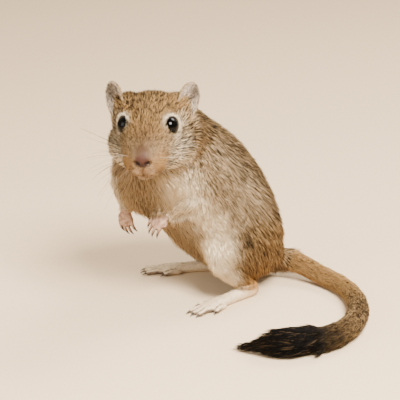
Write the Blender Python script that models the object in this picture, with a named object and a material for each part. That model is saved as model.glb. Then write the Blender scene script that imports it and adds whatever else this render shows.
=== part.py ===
# A life-size Mongolian gerbil, sitting up on its hind feet with its head turned to its left.
# Every table is in millimetres, measured forward, left and up from the floor between the heels.
import math
import random

import bmesh
import bpy
from mathutils import Matrix, Vector

# Driving sizes
MM = 0.001
GAP = 0.3  # left between two nodes that meet
SAME_PLACE = 0.04  # points of a thinned skin that are this close become one
BELOW_FLOOR = 0.35  # how far a foot or the tail is sunk before its flat is cut
CENTRE_OF_BOX = (12.93, 22.77)  # forward and left of the heels, and the model's origin on the floor

HEAD_YAW = 58.5  # degrees to the animal's left
HEAD_PITCH = -7.0
HEAD_ROLL = 1.0
NOSE_TIP = (50.5, 31.5, 59.3)
EYE_RADIUS = 3.0
EYE_PLACE = (-14.8, 6.7, 5.0)  # ahead of the nose tip, to the side, above it
EYE_OUTWARD = 61.0  # degrees from straight ahead
EYE_UPWARD = 10.0
EAR_ROOT = (-23.8, 10.0, 4.8)
EAR_LENGTH = 10.4
EAR_SUNK = 3.5  # how far its root reaches into the head
EAR_WIDTH = 7.8
EAR_WALL = 0.85

BODY_VOXEL = 0.75
FACE_VOXEL = 0.45
PAW_VOXEL = 0.22
BODY_TRIANGLES = 1900
HEAD_TRIANGLES = 2300
PAW_TRIANGLES = 800
FOOT_TRIANGLES = 820

# The trunk from rump to chest: forward, left, up, half width, rise to the back, drop to the belly, turn
TORSO = [
    (-9.5, 0.0, 5.0, 5.5, 4.5, 4.0, 0),
    (-5.5, 0.0, 9.0, 13.0, 10.0, 9.0, 0),
    (-0.5, 0.0, 14.0, 16.5, 15.0, 13.5, 0),
    (4.8, 0.0, 20.5, 18.0, 18.2, 16.5, 0),
    (10.5, 0.0, 27.8, 17.8, 20.4, 18.2, 2),
    (16.5, 0.0, 35.0, 16.8, 21.3, 18.2, 5),
    (22.5, 0.8, 41.8, 15.6, 21.0, 18.6, 9),
    (28.0, 2.5, 47.6, 14.2, 18.9, 16.4, 14),
    (31.5, 4.5, 52.0, 13.0, 15.4, 13.5, 20),
]
NECK = [
    (24.0, 0.8, 45.0, 14.6, 19.2, 15.0, 8),
    (28.5, 3.6, 53.0, 13.4, 16.2, 13.6, 18),
    (33.2, 8.2, 58.4, 12.4, 13.2, 12.4, 28),
    (36.5, 11.0, 60.2, 11.2, 11.0, 11.4, 10),
]
# The skull and its coat, from the nose back: ahead, up, half width, rise, drop
SKULL = [
    (-4.0, -0.7, 4.8, 4.8, 5.0),
    (-6.5, -0.9, 6.7, 7.3, 7.5),
    (-10.0, -0.7, 8.4, 9.5, 9.0),
    (-15.0, -0.4, 10.2, 10.8, 10.4),
    (-20.0, -0.2, 12.0, 11.2, 11.6),
    (-25.0, -0.2, 12.9, 11.5, 12.2),
    (-30.0, -0.4, 12.0, 10.8, 11.8),
    (-34.5, -0.8, 8.4, 7.6, 8.8),
    (-37.0, -1.2, 4.5, 4.0, 4.6),
]
# Limbs: forward, side, up, half width, rise, drop
THIGH = [
    (-1.5, 8.5, 17.5, 8.0, 10.0, 9.5),
    (4.0, 11.5, 18.8, 8.2, 11.5, 11.0),
    (10.0, 14.0, 18.0, 7.0, 9.8, 9.0),
    (15.8, 15.6, 16.6, 5.2, 6.8, 6.0),
]
SHANK = [
    (16.0, 15.6, 14.2, 4.2, 4.6, 4.4),
    (11.8, 15.0, 10.6, 4.0, 4.5, 4.4),
    (7.6, 14.0, 7.0, 3.3, 3.7, 3.6),
    (4.6, 13.0, 3.6, 2.7, 2.9, 2.9),
]
UPPER_ARM = {
    "left": [
        (26.4, 11.4, 46.0, 5.4, 6.8, 6.8),
        (26.0, 13.2, 41.5, 5.0, 6.2, 6.2),
        (26.0, 13.6, 38.0, 4.3, 5.0, 5.0),
    ],
    "right": [
        (34.0, 10.5, 46.4, 6.0, 7.2, 7.2),
        (36.3, 12.6, 42.4, 5.6, 6.2, 6.2),
        (38.0, 13.2, 37.6, 4.4, 4.8, 4.8),
    ],
}
FOREARM = {
    "left": [
        (26.2, 13.6, 37.6, 4.2, 4.6, 4.6),
        (28.4, 12.4, 36.2, 3.4, 3.6, 3.6),
        (30.8, 11.0, 34.4, 2.5, 2.4, 2.4),
        (32.8, 9.8, 32.4, 2.1, 1.9, 1.9),
    ],
    "right": [
        (38.2, 13.2, 37.0, 4.0, 4.2, 4.2),
        (38.8, 12.2, 33.8, 3.1, 3.3, 3.3),
        (38.9, 10.8, 31.0, 2.4, 2.4, 2.4),
        (38.8, 9.8, 29.0, 2.1, 1.9, 1.9),
    ],
}
# The wrist, the way the hand hangs from it, and the way its back faces
PAW = {
    "left": ((32.8, 9.8, 32.4), (6.4, -1.8, -6.6), (0.7, 0.6, 0.45)),
    "right": ((38.8, 9.8, 29.0), (0.6, -1.6, -7.6), (0.75, -0.55, 0.3)),
}
FOOT = {"left": (2.6, 12.6, 18.0), "right": (1.6, 12.2, 18.0)}  # forward and side of the heel, splay
FOOT_STRETCH = 1.1  # along its length, over the lengths in the rows below
CHEST = (32.4, -3.0, 38.4)  # middle of the fur that hangs before the arms
CHEST_RADII = (10.6, 10.5, 11.0)
# The tail and its coat, from the rump to the tip: forward, left, height of its underside, radius
TAIL = [
    (-6.0, 0.0, 3.1, 6.2),
    (-12.5, 2.0, 3.9, 4.3),
    (-17.6, 7.5, 2.4, 3.8),
    (-21.8, 15.0, 0.5, 3.6),
    (-24.0, 24.0, 0.0, 3.5),
    (-23.4, 33.5, 0.0, 3.5),
    (-20.0, 43.5, 0.0, 3.6),
    (-14.4, 52.3, 0.0, 3.8),
    (-7.2, 59.4, 0.0, 4.0),
    (1.2, 63.6, 0.0, 4.3),
    (10.0, 64.2, 0.0, 4.6),
    (17.6, 61.6, 0.0, 4.2),
    (23.4, 57.0, 0.0, 2.6),
    (27.2, 52.8, 0.2, 1.0),
]
TAIL_STEPS = 4  # rings read between two rows
SIDES = ("left", "right")
TAIL_CUTS = (1.5, 5.0, 7.5, 9.5)  # in table rows
# The brush: a thin core and the flat locks that stand on it, out to the tail's outline
CORE_SHARE = 0.5  # of the outline's radius
CORE_TAPER = 1.4  # table rows in which it falls to that share
CORE_END = 12.1  # table row
LOCK_ROWS = 7
LOCKS_AROUND = 6
LOCK_FIRST, LOCK_LAST = 9.3, 11.95  # table rows of the first and last roots
LOCK_LENGTH = 1.15  # table rows
LOCK_WIDTH = 2.3
LOCK_THICKNESS = 0.9
LOCK_SEED = 7

# Colour and roughness of each kind of part
FINISHES = {
    "torso": ((0.40, 0.28, 0.15), 0.9),
    "neck": ((0.42, 0.29, 0.16), 0.9),
    "head": ((0.44, 0.30, 0.17), 0.9),
    "ear": ((0.46, 0.36, 0.30), 0.8),
    "eye": ((0.008, 0.006, 0.006), 0.08),
    "forepaw": ((0.62, 0.50, 0.44), 0.7),
    "hindfoot": ((0.64, 0.52, 0.45), 0.7),
    "tail": ((0.36, 0.24, 0.12), 0.9),
}


def spot(forward, left, up):
    """A place beside the heels, in the model's frame."""
    return Vector((left - CENTRE_OF_BOX[1], CENTRE_OF_BOX[0] - forward, up)) * MM


def direction(forward, left, up):
    return Vector((left, -forward, up)).normalized()


def head_frame():
    """Columns ahead, left and up of the head, at its nose tip."""
    yaw, pitch = math.radians(HEAD_YAW), math.radians(HEAD_PITCH)
    ahead = direction(math.cos(yaw) * math.cos(pitch), math.sin(yaw) * math.cos(pitch), math.sin(pitch))
    left = Vector((0, 0, 1)).cross(ahead).normalized()
    left.rotate(Matrix.Rotation(math.radians(HEAD_ROLL), 3, ahead))
    up = ahead.cross(left).normalized()
    frame = Matrix((ahead, left, up)).transposed().to_4x4()
    frame.translation = spot(*NOSE_TIP)
    return frame


HEAD = head_frame()


def head_spot(ahead, left, up):
    return HEAD @ (Vector((ahead, left, up)) * MM)


def head_direction(ahead, left, up):
    return (HEAD.to_3x3() @ Vector((ahead, left, up))).normalized()


def through(rows, steps):
    """Rows of numbers read along a smooth curve through the given rows."""
    rows = [Vector(row) for row in rows]
    ends = [rows[0] * 2 - rows[1], *rows, rows[-1] * 2 - rows[-2]]
    read = []
    for k in range(len(rows) - 1):
        a, b, c, d = ends[k : k + 4]
        for step in range(steps):
            t = step / steps
            square = (a * 2 - b * 5 + c * 4 - d) * t**2
            cube = (b * 3 - a - c * 3 + d) * t**3
            read.append((b * 2 + (c - a) * t + square + cube) / 2)
    return [*read, rows[-1]]


def mesh_object(name, points, faces):
    mesh = bpy.data.meshes.new(name)
    mesh.from_pydata(points, [], faces)
    form = bmesh.new()
    form.from_mesh(mesh)
    bmesh.ops.recalc_face_normals(form, faces=form.faces)
    form.to_mesh(mesh)
    form.free()
    made = bpy.data.objects.new(name, mesh)
    bpy.context.scene.collection.objects.link(made)
    return made


def skinned(name, rings):
    """A closed mesh over rings of points, with its two ends drawn to a point."""
    count = len(rings[0])
    points = [p for ring in rings for p in ring]
    faces = [
        (k * count + i, k * count + (i + 1) % count, (k + 1) * count + (i + 1) % count, (k + 1) * count + i)
        for k in range(len(rings) - 1)
        for i in range(count)
    ]
    for first, ring in ((0, rings[0]), ((len(rings) - 1) * count, rings[-1])):
        points.append(sum(ring, Vector()) / count)
        faces += [(first + i, first + (i + 1) % count, len(points) - 1) for i in range(count)]
    return mesh_object(name, points, faces)


def ring_at(centre, along, up, half_width, rise, drop, sides, square=2.0, taper=0.0):
    """An oval of points across a direction: squarer above 2, and narrower at the top by its taper."""
    side = up.cross(along).normalized()
    top = along.cross(side).normalized()
    ring = []
    for i in range(sides):
        angle = 2 * math.pi * i / sides
        c, s = math.cos(angle), math.sin(angle)
        across = math.copysign(abs(c) ** (2 / square), c) * half_width * (1 - taper * s)
        height = math.copysign(abs(s) ** (2 / square), s) * (rise if s > 0 else drop)
        ring.append(centre + (side * across + top * height) * MM)
    return ring


def flesh(name, places, sizes, ups, sides=20, square=2.0, taper=0.0):
    """A rounded form along places, each with its half width, rise and drop in millimetres."""
    last = len(places) - 1
    rings = []
    for k, centre in enumerate(places):
        along = (places[min(k + 1, last)] - places[max(k - 1, 0)]).normalized()
        if k in (0, last):
            outward = -along if k == 0 else along
            size = Vector(sizes[k])
            caps = []
            for a in (math.radians(75), math.radians(40)):
                end = centre + outward * size.z * MM * math.sin(a)
                caps.append(ring_at(end, along, ups[k], *(size * math.cos(a)), sides, square, taper))
            ring = ring_at(centre, along, ups[k], *size, sides, square, taper)
            rings += [*caps, ring] if k == 0 else [ring, *reversed(caps)]
        else:
            rings.append(ring_at(centre, along, ups[k], *sizes[k], sides, square, taper))
    return skinned(name, rings)


def trunk(name, rows, grow=0.0):
    """A form through rows of forward, left, up, half width, rise, drop and turn."""
    read = through(rows, 3)
    places = [spot(*row[:3]) for row in read]
    ups = []
    for k, row in enumerate(read):
        along = places[min(k + 1, len(read) - 1)] - places[max(k - 1, 0)]
        back = direction(-1.0, 0.0, 0.6)
        back.rotate(Matrix.Rotation(math.radians(row[6]), 3, along.normalized()))
        ups.append(back)
    return flesh(name, places, [Vector(row[3:6]) + Vector((grow,) * 3) for row in read], ups, 28, 2.15)


def sided(rows, side):
    sign = 1 if side == "left" else -1
    return [(row[0], sign * row[1], *row[2:]) for row in rows]


def limb(name, rows, side, grow=0.0, steps=3, sides=18):
    read = through(sided(rows, side), steps)
    places = [spot(*row[:3]) for row in read]
    outward = direction(0.0, 1.0 if side == "left" else -1.0, 0.0)
    ups = [outward.cross(places[-1] - places[0]).normalized()] * len(read)
    return flesh(name, places, [Vector(row[3:6]) + Vector((grow,) * 3) for row in read], ups, sides)


def skull(name):
    read = through(SKULL, 3)
    places = [head_spot(row[0], 0, row[1]) for row in read]
    ups = [head_direction(0, 0, 1)] * len(read)
    return flesh(name, places, [row[2:5] for row in read], ups, 28, 2.25, 0.11)


def ellipsoid(name, centre, axes, radii, rings=12, sides=18):
    """Radii along three directions about a centre."""
    points = []
    for k in range(1, rings):
        lean = math.pi * k / rings
        for i in range(sides):
            turn = 2 * math.pi * i / sides
            unit = (math.cos(lean), math.sin(lean) * math.cos(turn), math.sin(lean) * math.sin(turn))
            points.append(centre + sum((a * (r * u * MM) for a, r, u in zip(axes, radii, unit)), Vector()))
    made = [points[k * sides : (k + 1) * sides] for k in range(rings - 1)]
    form = skinned(name, made)
    ends = [centre + axes[0] * radii[0] * MM, centre - axes[0] * radii[0] * MM]
    for vertex, end in zip(list(form.data.vertices)[-2:], ends):
        vertex.co = end
    return form


def chest():
    axes = [direction(1, 0, 0), direction(0, 1, 0), direction(0, 0, 1)]
    return ellipsoid("chest", spot(*CHEST), axes, CHEST_RADII)


def head_lump(name, place, radii, tilt=0.0):
    axes = [head_direction(math.cos(tilt), 0, math.sin(tilt)), head_direction(0, 1, 0)]
    axes.append(axes[0].cross(axes[1]))
    return ellipsoid(name, head_spot(*place), axes, radii)


def hoop(name, centre, axis, major, minor, sides=28, round_sides=10):
    """A ring of round section about an axis."""
    first = axis.orthogonal().normalized()
    second = axis.cross(first).normalized()
    rings = []
    for i in range(sides):
        turn = 2 * math.pi * i / sides
        out = first * math.cos(turn) + second * math.sin(turn)
        rings.append(
            [
                centre + (out * (major + minor * math.cos(2 * math.pi * j / round_sides))
                          + axis * minor * math.sin(2 * math.pi * j / round_sides)) * MM
                for j in range(round_sides)
            ]
        )
    count = round_sides
    points = [p for ring in rings for p in ring]
    faces = [
        (i * count + j, i * count + (j + 1) % count,
         (i + 1) % sides * count + (j + 1) % count, (i + 1) % sides * count + j)
        for i in range(sides)
        for j in range(count)
    ]
    return mesh_object(name, points, faces)


def settled(form):
    """The form with its modifiers applied."""
    bpy.context.view_layer.update()
    mesh = bpy.data.meshes.new_from_object(form.evaluated_get(bpy.context.evaluated_depsgraph_get()))
    form.modifiers.clear()
    form.data = mesh
    return form


def removed(forms):
    for form in forms:
        bpy.data.objects.remove(form)


def gathered(name, forms):
    """Several closed meshes as one object, still overlapping."""
    joined = bmesh.new()
    for form in forms:
        joined.from_mesh(form.data)
    mesh = bpy.data.meshes.new(name)
    joined.to_mesh(mesh)
    joined.free()
    removed(forms)
    made = bpy.data.objects.new(name, mesh)
    bpy.context.scene.collection.objects.link(made)
    return made


def blended(form, voxel, passes):
    """Overlapping forms made one skin, with its creases softened."""
    remesh = form.modifiers.new("one skin", "REMESH")
    remesh.mode = "VOXEL"
    remesh.voxel_size = voxel * MM
    soften = form.modifiers.new("soften", "SMOOTH")
    soften.factor = 0.5
    soften.iterations = passes
    settled(form)
    return largest(form)


def largest(form):
    """Only the largest closed surface of a mesh."""
    mesh = bmesh.new()
    mesh.from_mesh(form.data)
    left = set(mesh.verts)
    groups = []
    while left:
        start = left.pop()
        group, edge = {start}, [start]
        while edge:
            for link in edge.pop().link_edges:
                for end in link.verts:
                    if end in left:
                        left.discard(end)
                        group.add(end)
                        edge.append(end)
        groups.append(group)
    best = max(groups, key=len)
    bmesh.ops.delete(mesh, geom=[v for v in mesh.verts if v not in best], context="VERTS")
    mesh.to_mesh(form.data)
    mesh.free()
    return form


def thinned(form, triangles):
    """Fewer triangles, kept where the form bends most."""
    form.data.calc_loop_triangles()
    lessen = form.modifiers.new("thin", "DECIMATE")
    lessen.use_collapse_triangulate = True
    lessen.ratio = min(1.0, triangles / len(form.data.loop_triangles))
    settled(form)
    mesh = bmesh.new()
    mesh.from_mesh(form.data)
    bmesh.ops.remove_doubles(mesh, verts=mesh.verts, dist=SAME_PLACE * MM)
    bmesh.ops.dissolve_degenerate(mesh, edges=mesh.edges, dist=SAME_PLACE * MM)
    mesh.to_mesh(form.data)
    mesh.free()
    return form


def cut(form, other, operation="DIFFERENCE"):
    """Cuts by MANIFOLD, because EXACT loses whole faces of so fine a skin."""
    boolean = form.modifiers.new("cut", "BOOLEAN")
    boolean.operation = operation
    boolean.solver = "MANIFOLD"
    boolean.object = other
    return settled(form)


def copied(form, name):
    made = form.copy()
    made.data = form.data.copy()
    made.name = name
    bpy.context.scene.collection.objects.link(made)
    return made


def slab(name, centre, normal, start, reach):
    """A box that begins start millimetres along a normal and fills the side beyond it."""
    normal = normal.normalized()
    first = normal.orthogonal().normalized() * reach * MM
    second = normal.cross(first)
    near = centre + normal * start * MM
    far = near + normal * reach * MM
    signs = ((-1, -1), (1, -1), (1, 1), (-1, 1))
    corners = [p + first * a + second * b for p in (near, far) for a, b in signs]
    faces = [(0, 1, 2, 3), (4, 5, 6, 7), (0, 1, 5, 4), (1, 2, 6, 5), (2, 3, 7, 6), (3, 0, 4, 7)]
    return mesh_object(name, corners, faces)


def parted(rest, name, inner, outer):
    """Takes what lies in inner off rest as its own node, and clears rest to outer."""
    piece = cut(copied(rest, name), inner, "INTERSECT")
    cut(rest, outer)
    removed([inner, outer])
    largest(rest)
    return largest(piece)


def plane_part(rest, name, centre, normal, reach=120):
    inner = slab("in", centre, normal, GAP / 2, reach)
    outer = slab("out", centre, normal, -GAP / 2, reach)
    return parted(rest, name, inner, outer)


def floor_cut(form):
    """The flat that the form rests on."""
    ground = slab("ground", spot(12, 20, 0), Vector((0, 0, -1)), 0, 150)
    cut(form, ground)
    removed([ground])
    return largest(form)


def digit(name, root, aim, down, length, radius, claw, curl):
    """A toe or finger with its claw, bending towards down along its length."""
    steps = 6
    places, sizes = [root], [(radius * 1.05,) * 3]
    heading = aim.normalized()
    for k in range(1, steps + 1):
        share = k / steps
        heading = (heading + down * curl / steps).normalized()
        places.append(places[-1] + heading * length / steps * MM)
        knuckle = 1.0 + 0.1 * math.sin(share * 3 * math.pi)
        sizes.append((radius * knuckle * (1 - 0.2 * share),) * 3)
    finger = flesh(name, places, sizes, [down * -1] * len(places), 10)
    tip = places[-1] - heading * 0.3 * MM
    places = [tip, tip + heading * claw * 0.55 * MM, tip + (heading + down * 0.35).normalized() * claw * MM]
    sizes = [(0.42, 0.45, 0.42), (0.32, 0.34, 0.32), (0.16, 0.17, 0.16)]
    nail = flesh(name, places, sizes, [down * -1] * 3, 8)
    return [finger, nail]


def forepaw(side):
    """A hand of four fingers and a thumb pad, hanging from its wrist."""
    sign = 1 if side == "left" else -1
    (forward, out, up), aim, faces = PAW[side]
    wrist = spot(forward, sign * out, up)
    ahead = direction(aim[0], sign * aim[1], aim[2])
    across = direction(faces[0], sign * faces[1], faces[2]).cross(ahead).normalized()
    back = ahead.cross(across).normalized()
    across = across * -sign
    places = [wrist + ahead * along * MM for along in (-1.5, 1.2, 3.4, 4.8)]
    sizes = [(2.1, 1.9, 1.9), (2.2, 1.6, 1.6), (2.7, 1.4, 1.4), (2.6, 1.0, 1.0)]
    forms = [flesh("palm", places, sizes, [back] * 4, 14)]
    for k in range(4):
        spread = (k - 1.5) / 1.5
        root = wrist + (ahead * (4.2 - 0.5 * spread**2) + across * spread * 2.0 - back * 0.1) * MM
        aim_k = ahead + across * spread * 0.22 + back * 0.25
        length = 3.9 - 0.7 * spread**2
        forms += digit("finger", root, aim_k, -back, length, 0.68, 1.7, 1.25)
    thumb = wrist + (ahead * 2.2 - across * 2.2 - back * 0.4) * MM
    forms += digit("thumb", thumb, ahead - across * 0.6, -back, 1.1, 0.6, 0.4, 0.3)
    arm = limb("arm", FOREARM[side], side)
    paw = blended(gathered(f"forepaw_{side}", [arm, *forms]), PAW_VOXEL, 3)
    thinned(paw, PAW_TRIANGLES)
    keep = slab("keep", wrist, ahead, GAP / 2, 30)
    cut(paw, keep, "INTERSECT")
    removed([keep])
    return largest(paw), wrist, ahead


def foot_spot(side, ahead, inward, up):
    """A place on a hind foot, from its heel along its sole."""
    forward, out, splay = FOOT[side]
    sign = 1 if side == "left" else -1
    turn = math.radians(splay)
    place = Vector((math.cos(turn), math.sin(turn))) * ahead * FOOT_STRETCH
    place += Vector((math.sin(turn), -math.cos(turn))) * inward
    return spot(forward + place.x, sign * (out + place.y), up - BELOW_FLOOR)


def hind_foot(side):
    """A long flat sole with five toes, cut off above the heel."""
    rows = [
        (0.6, 0.0, 2.7, 2.3, 2.7, 2.7),
        (4.0, 0.0, 2.5, 2.4, 2.4, 2.5),
        (10.0, 0.0, 1.9, 2.2, 1.8, 1.9),
        (16.0, 0.0, 1.7, 2.9, 1.7, 1.7),
        (19.5, 0.0, 1.5, 3.2, 1.4, 1.5),
    ]
    read = through(rows, 3)
    places = [foot_spot(side, row[0], row[1], row[2]) for row in read]
    rise = Vector((0, 0, 1))
    forms = [flesh("sole", places, [row[3:6] for row in read], [rise] * len(read), 16, 2.3)]
    origin = foot_spot(side, 0, 0, 0)
    ahead = (foot_spot(side, 1, 0, 0) - origin).normalized()
    inner = (foot_spot(side, 0, 1, 0) - origin).normalized()
    for k in range(5):
        spread = (k - 2) / 2
        short = 1.0 if abs(spread) < 0.9 else 0.0
        root = foot_spot(side, 14.8 + 3.4 * short - 0.5 * abs(spread), spread * 2.45, 1.35)
        aim = ahead + inner * spread * (0.26 if short else 0.34) + rise * 0.1
        forms += digit("toe", root, aim, -rise, 6.6 if short else 5.0, 1.02, 2.0, 0.22)
    shin = limb("shin", SHANK, side)
    foot = blended(gathered(f"hindfoot_{side}", [shin, *forms]), PAW_VOXEL * 1.25, 3)
    thinned(foot, FOOT_TRIANGLES)
    return foot


def tail_at(row):
    """Centre, radius, outward side and rise of the tail at a table row."""
    fine = 16
    read = through(TAIL, fine)
    share = min(row, len(TAIL) - 1.0) * fine
    k = min(int(share), len(read) - 2)
    values = read[k].lerp(read[k + 1], share - k)
    ahead = spot(*read[min(k + 2, len(read) - 1)][:3]) - spot(*read[max(k - 1, 0)][:3])
    side = Vector((0, 0, 1)).cross(ahead).normalized()
    return spot(values[0], values[1], values[2] + values[3] - BELOW_FLOOR), values[3], side


def tail_form(name, first, last):
    """The tail and its coat as one smooth form, between two shares of its table."""
    read = through(TAIL, TAIL_STEPS)[round(first * TAIL_STEPS) : round(last * TAIL_STEPS) + 1]
    places = [spot(row[0], row[1], row[2] + row[3] - BELOW_FLOOR) for row in read]
    return flesh(name, places, [(row[3],) * 3 for row in read], [Vector((0, 0, 1))] * len(read), 12)


def lock(name, row, turn, length, width, thickness):
    """A flat tapered lock, rooted in the core and rising to the outline of the tail."""
    rings = []
    shares = ((0.0, 0.9, 1.0), (0.45, 1.0, 1.0), (0.8, 0.62, 0.75))
    for along, wide, thick in shares:
        centre, radius, side = tail_at(row + length * along)
        out = side * math.cos(turn) + Vector((0, 0, 1)) * math.sin(turn)
        across = side * -math.sin(turn) + Vector((0, 0, 1)) * math.cos(turn)
        reach = radius * (CORE_SHARE * 0.55 + (0.97 - CORE_SHARE * 0.55) * along**0.8)
        middle = centre + out * (reach - thickness * thick / 2) * MM
        corners = ((-wide / 2, 0.0), (0.0, -0.5), (wide / 2, 0.0), (0.0, 0.5))
        rings.append([middle + (across * a * width + out * b * thick * thickness) * MM for a, b in corners])
    centre, radius, side = tail_at(row + length)
    out = side * math.cos(turn) + Vector((0, 0, 1)) * math.sin(turn)
    tip = centre + out * (radius * 0.99 - 0.1) * MM
    points = [p for ring in rings for p in ring] + [tip]
    faces = [
        (k * 4 + i, k * 4 + (i + 1) % 4, k * 4 + 4 + (i + 1) % 4, k * 4 + 4 + i)
        for k in range(len(rings) - 1)
        for i in range(4)
    ]
    faces += [(8 + i, 8 + (i + 1) % 4, 12) for i in range(4)]
    faces.append((0, 1, 2, 3))
    return mesh_object(name, points, faces)


def brush(name):
    """The last length of the tail: its core and locks joined as one."""
    rows = [TAIL_CUTS[-1] - 0.2, TAIL_CUTS[-1], TAIL_CUTS[-1] + CORE_TAPER / 2, TAIL_CUTS[-1] + CORE_TAPER]
    rows += [rows[-1] + (CORE_END - rows[-1]) * k / 3 for k in (1, 2, 3)]
    places, sizes = [], []
    for row in rows:
        centre, radius, side = tail_at(row)
        share = CORE_SHARE + (1 - CORE_SHARE) * max(0.0, 1 - (row - TAIL_CUTS[-1]) / CORE_TAPER) ** 1.5
        places.append(centre)
        sizes.append((radius * min(share, 1.0),) * 3)
    core = flesh(name, places, sizes, [Vector((0, 0, 1))] * len(places), 12)
    chance = random.Random(LOCK_SEED)
    locks = bpy.data.collections.new("locks")
    for k in range(LOCK_ROWS):
        for i in range(LOCKS_AROUND):
            row = LOCK_FIRST + (LOCK_LAST - LOCK_FIRST) * (k + chance.uniform(-0.25, 0.25)) / (LOCK_ROWS - 1)
            turn = 2 * math.pi * (i + k * 0.5 + chance.uniform(-0.15, 0.15)) / LOCKS_AROUND
            length = LOCK_LENGTH * chance.uniform(0.85, 1.15)
            one = lock("lock", row, turn, length, LOCK_WIDTH * chance.uniform(0.85, 1.1), LOCK_THICKNESS)
            bpy.context.scene.collection.objects.unlink(one)
            locks.objects.link(one)
    joined = core.modifiers.new("locks", "BOOLEAN")
    joined.operation = "UNION"
    joined.operand_type = "COLLECTION"
    joined.solver = "EXACT"
    joined.collection = locks
    settled(core)
    removed(list(locks.objects))
    bpy.data.collections.remove(locks)
    return largest(core)


def tail_cut(row):
    """A place in the tail and the way it runs there."""
    read = through(TAIL, TAIL_STEPS)[round(row * TAIL_STEPS) - 1 : round(row * TAIL_STEPS) + 2]
    before, place, after = [spot(row[0], row[1], row[2] + row[3] - BELOW_FLOOR) for row in read]
    return place, after - before


def eye_axis(sign):
    turn, lift = math.radians(EYE_OUTWARD), math.radians(EYE_UPWARD)
    level = math.cos(lift)
    return head_direction(math.cos(turn) * level, sign * math.sin(turn) * level, math.sin(lift))


def cheek_forms():
    """What rounds the skull before its finer forms are added."""
    forms = [head_lump("lower jaw", (-9.6, 0, -7.6), (5.6, 4.2, 2.6), 0.1)]
    for sign in (1, -1):
        forms += [
            head_lump("cheek", (-21.5, 5.2 * sign, -3.9), (11.0, 8.9, 8.2), 0.1),
            head_lump("ear base", (-26.5, 7.4 * sign, 6.4), (6.0, 4.6, 4.6), 0.0),
            head_lump("brow", (-18.0, 5.0 * sign, 5.4), (6.5, 4.4, 4.6), 0.2),
            head_lump("temple", (-21.0, 6.0 * sign, 3.6), (6.5, 5.4, 6.4), 0.1),
            head_lump("whisker pad", (-7.4, 3.3 * sign, -3.4), (5.8, 3.9, 4.1), 0.15),
        ]
    return forms


def face_forms():
    """The nose pad, lips and lids."""
    forms = [
        head_lump("nose pad", (-1.1, 0, -0.2), (1.7, 2.4, 2.1)),
        head_lump("lower lip", (-5.4, 0, -7.6), (2.9, 2.8, 1.4), 0.15),
    ]
    for sign in (1, -1):
        forms += [
            head_lump("wing of the nose", (-1.4, 1.9 * sign, -0.9), (1.6, 1.1, 1.4)),
            head_lump("upper lip", (-2.7, 1.9 * sign, -4.6), (2.8, 2.3, 2.0), 0.25),
        ]
        centre = head_spot(EYE_PLACE[0], sign * EYE_PLACE[1], EYE_PLACE[2])
        forms.append(hoop("lid", centre + eye_axis(sign) * 1.85 * MM, eye_axis(sign), 3.05, 0.65))
    return forms


def furrow(head, name, rows, radius):
    """A thin round form that follows the surface of the head."""
    places = []
    for row in through(rows, 3):
        near = head_spot(*row)
        places.append(head.closest_point_on_mesh(near)[1])
    return flesh(name, places, [(radius,) * 3] * len(places), [head_direction(-0.3, 0, 1)] * len(places), 8)


def grooves(head):
    """What is cut from the face: sockets, nostrils, the cleft of the lip and the line of the mouth."""
    forms = []
    for sign in (1, -1):
        centre = head_spot(EYE_PLACE[0], sign * EYE_PLACE[1], EYE_PLACE[2])
        axes = [head_direction(1, 0, 0), head_direction(0, 1, 0), head_direction(0, 0, 1)]
        forms.append(ellipsoid("socket", centre, axes, (EYE_RADIUS + GAP,) * 3, 9, 14))
        lying = [head_direction(-0.6, 0.5 * sign, 0.35), head_direction(0.3, 0.9 * sign, -0.5)]
        lying.append(lying[0].cross(lying[1]).normalized())
        opening = head.closest_point_on_mesh(head_spot(0.4, 1.9 * sign, -1.3))[1]
        forms.append(ellipsoid("nostril", opening, lying, (1.3, 0.95, 0.5), 8, 10))
    side = [(-9.6, 6.4, -5.8), (-7.0, 4.8, -6.7), (-4.6, 2.6, -6.6), (-3.4, 0, -6.2)]
    forms.append(furrow(head, "mouth", side + [(a, -b, c) for a, b, c in reversed(side[:-1])], 0.45))
    cleft = [(0.3, 0, -2.4), (-0.4, 0, -3.6), (-1.2, 0, -5.0), (-3.2, 0, -6.2)]
    forms.append(furrow(head, "cleft", cleft, 0.32))
    return forms


def ear(side):
    """A thin cup, open forwards and outwards, with its rim curled in."""
    sign = 1 if side == "left" else -1
    root = head_spot(EAR_ROOT[0], sign * EAR_ROOT[1], EAR_ROOT[2])
    along = head_direction(-0.46, 0.22 * sign, 0.86)
    across = along.cross(head_direction(0.8, 0.6 * sign, 0.0)).normalized()
    opening = across.cross(along).normalized()
    rows, columns = 10, 8
    front, back = [], []
    for k in range(rows + 1):
        v = 1 - (1 - k / rows) ** 1.5
        widening = math.sin(min(1.0, v / 0.6) * math.pi / 2)
        rounding = math.sqrt(max(0.0, 1 - max(0.0, (v - 0.6) / 0.4) ** 2.2))
        half = EAR_WIDTH / 2 * (0.5 + 0.5 * widening) * max(rounding, 0.06)
        for i in range(columns + 1):
            u = 2 * i / columns - 1
            cup = 2.9 * (1 - u * u) * (1 - 0.6 * v) * max(rounding, 0.1)
            height = v * (EAR_LENGTH + EAR_SUNK) - EAR_SUNK
            middle = root + (along * height + across * u * half - opening * (cup - 1.2)) * MM
            wall = EAR_WALL * (1.2 - 0.45 * v) / 2
            front.append(middle + opening * wall * MM)
            back.append(middle - opening * wall * MM)
    width = columns + 1
    count = len(front)
    faces = []
    for k in range(rows):
        for i in range(columns):
            a = k * width + i
            for three in ((a, a + 1, a + 1 + width), (a, a + 1 + width, a + width)):
                faces.append(three)
                faces.append(tuple(q + count for q in reversed(three)))
    rim = [*range(columns), *(columns + width * k for k in range(rows))]
    rim += [rows * width + columns - i for i in range(columns)]
    rim += [width * (rows - k) for k in range(rows)]
    for a, b in zip(rim, [*rim[1:], rim[0]]):
        faces.append((a, b, b + count, a + count))
    return mesh_object(f"ear_{side}", front + back, faces)


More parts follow.
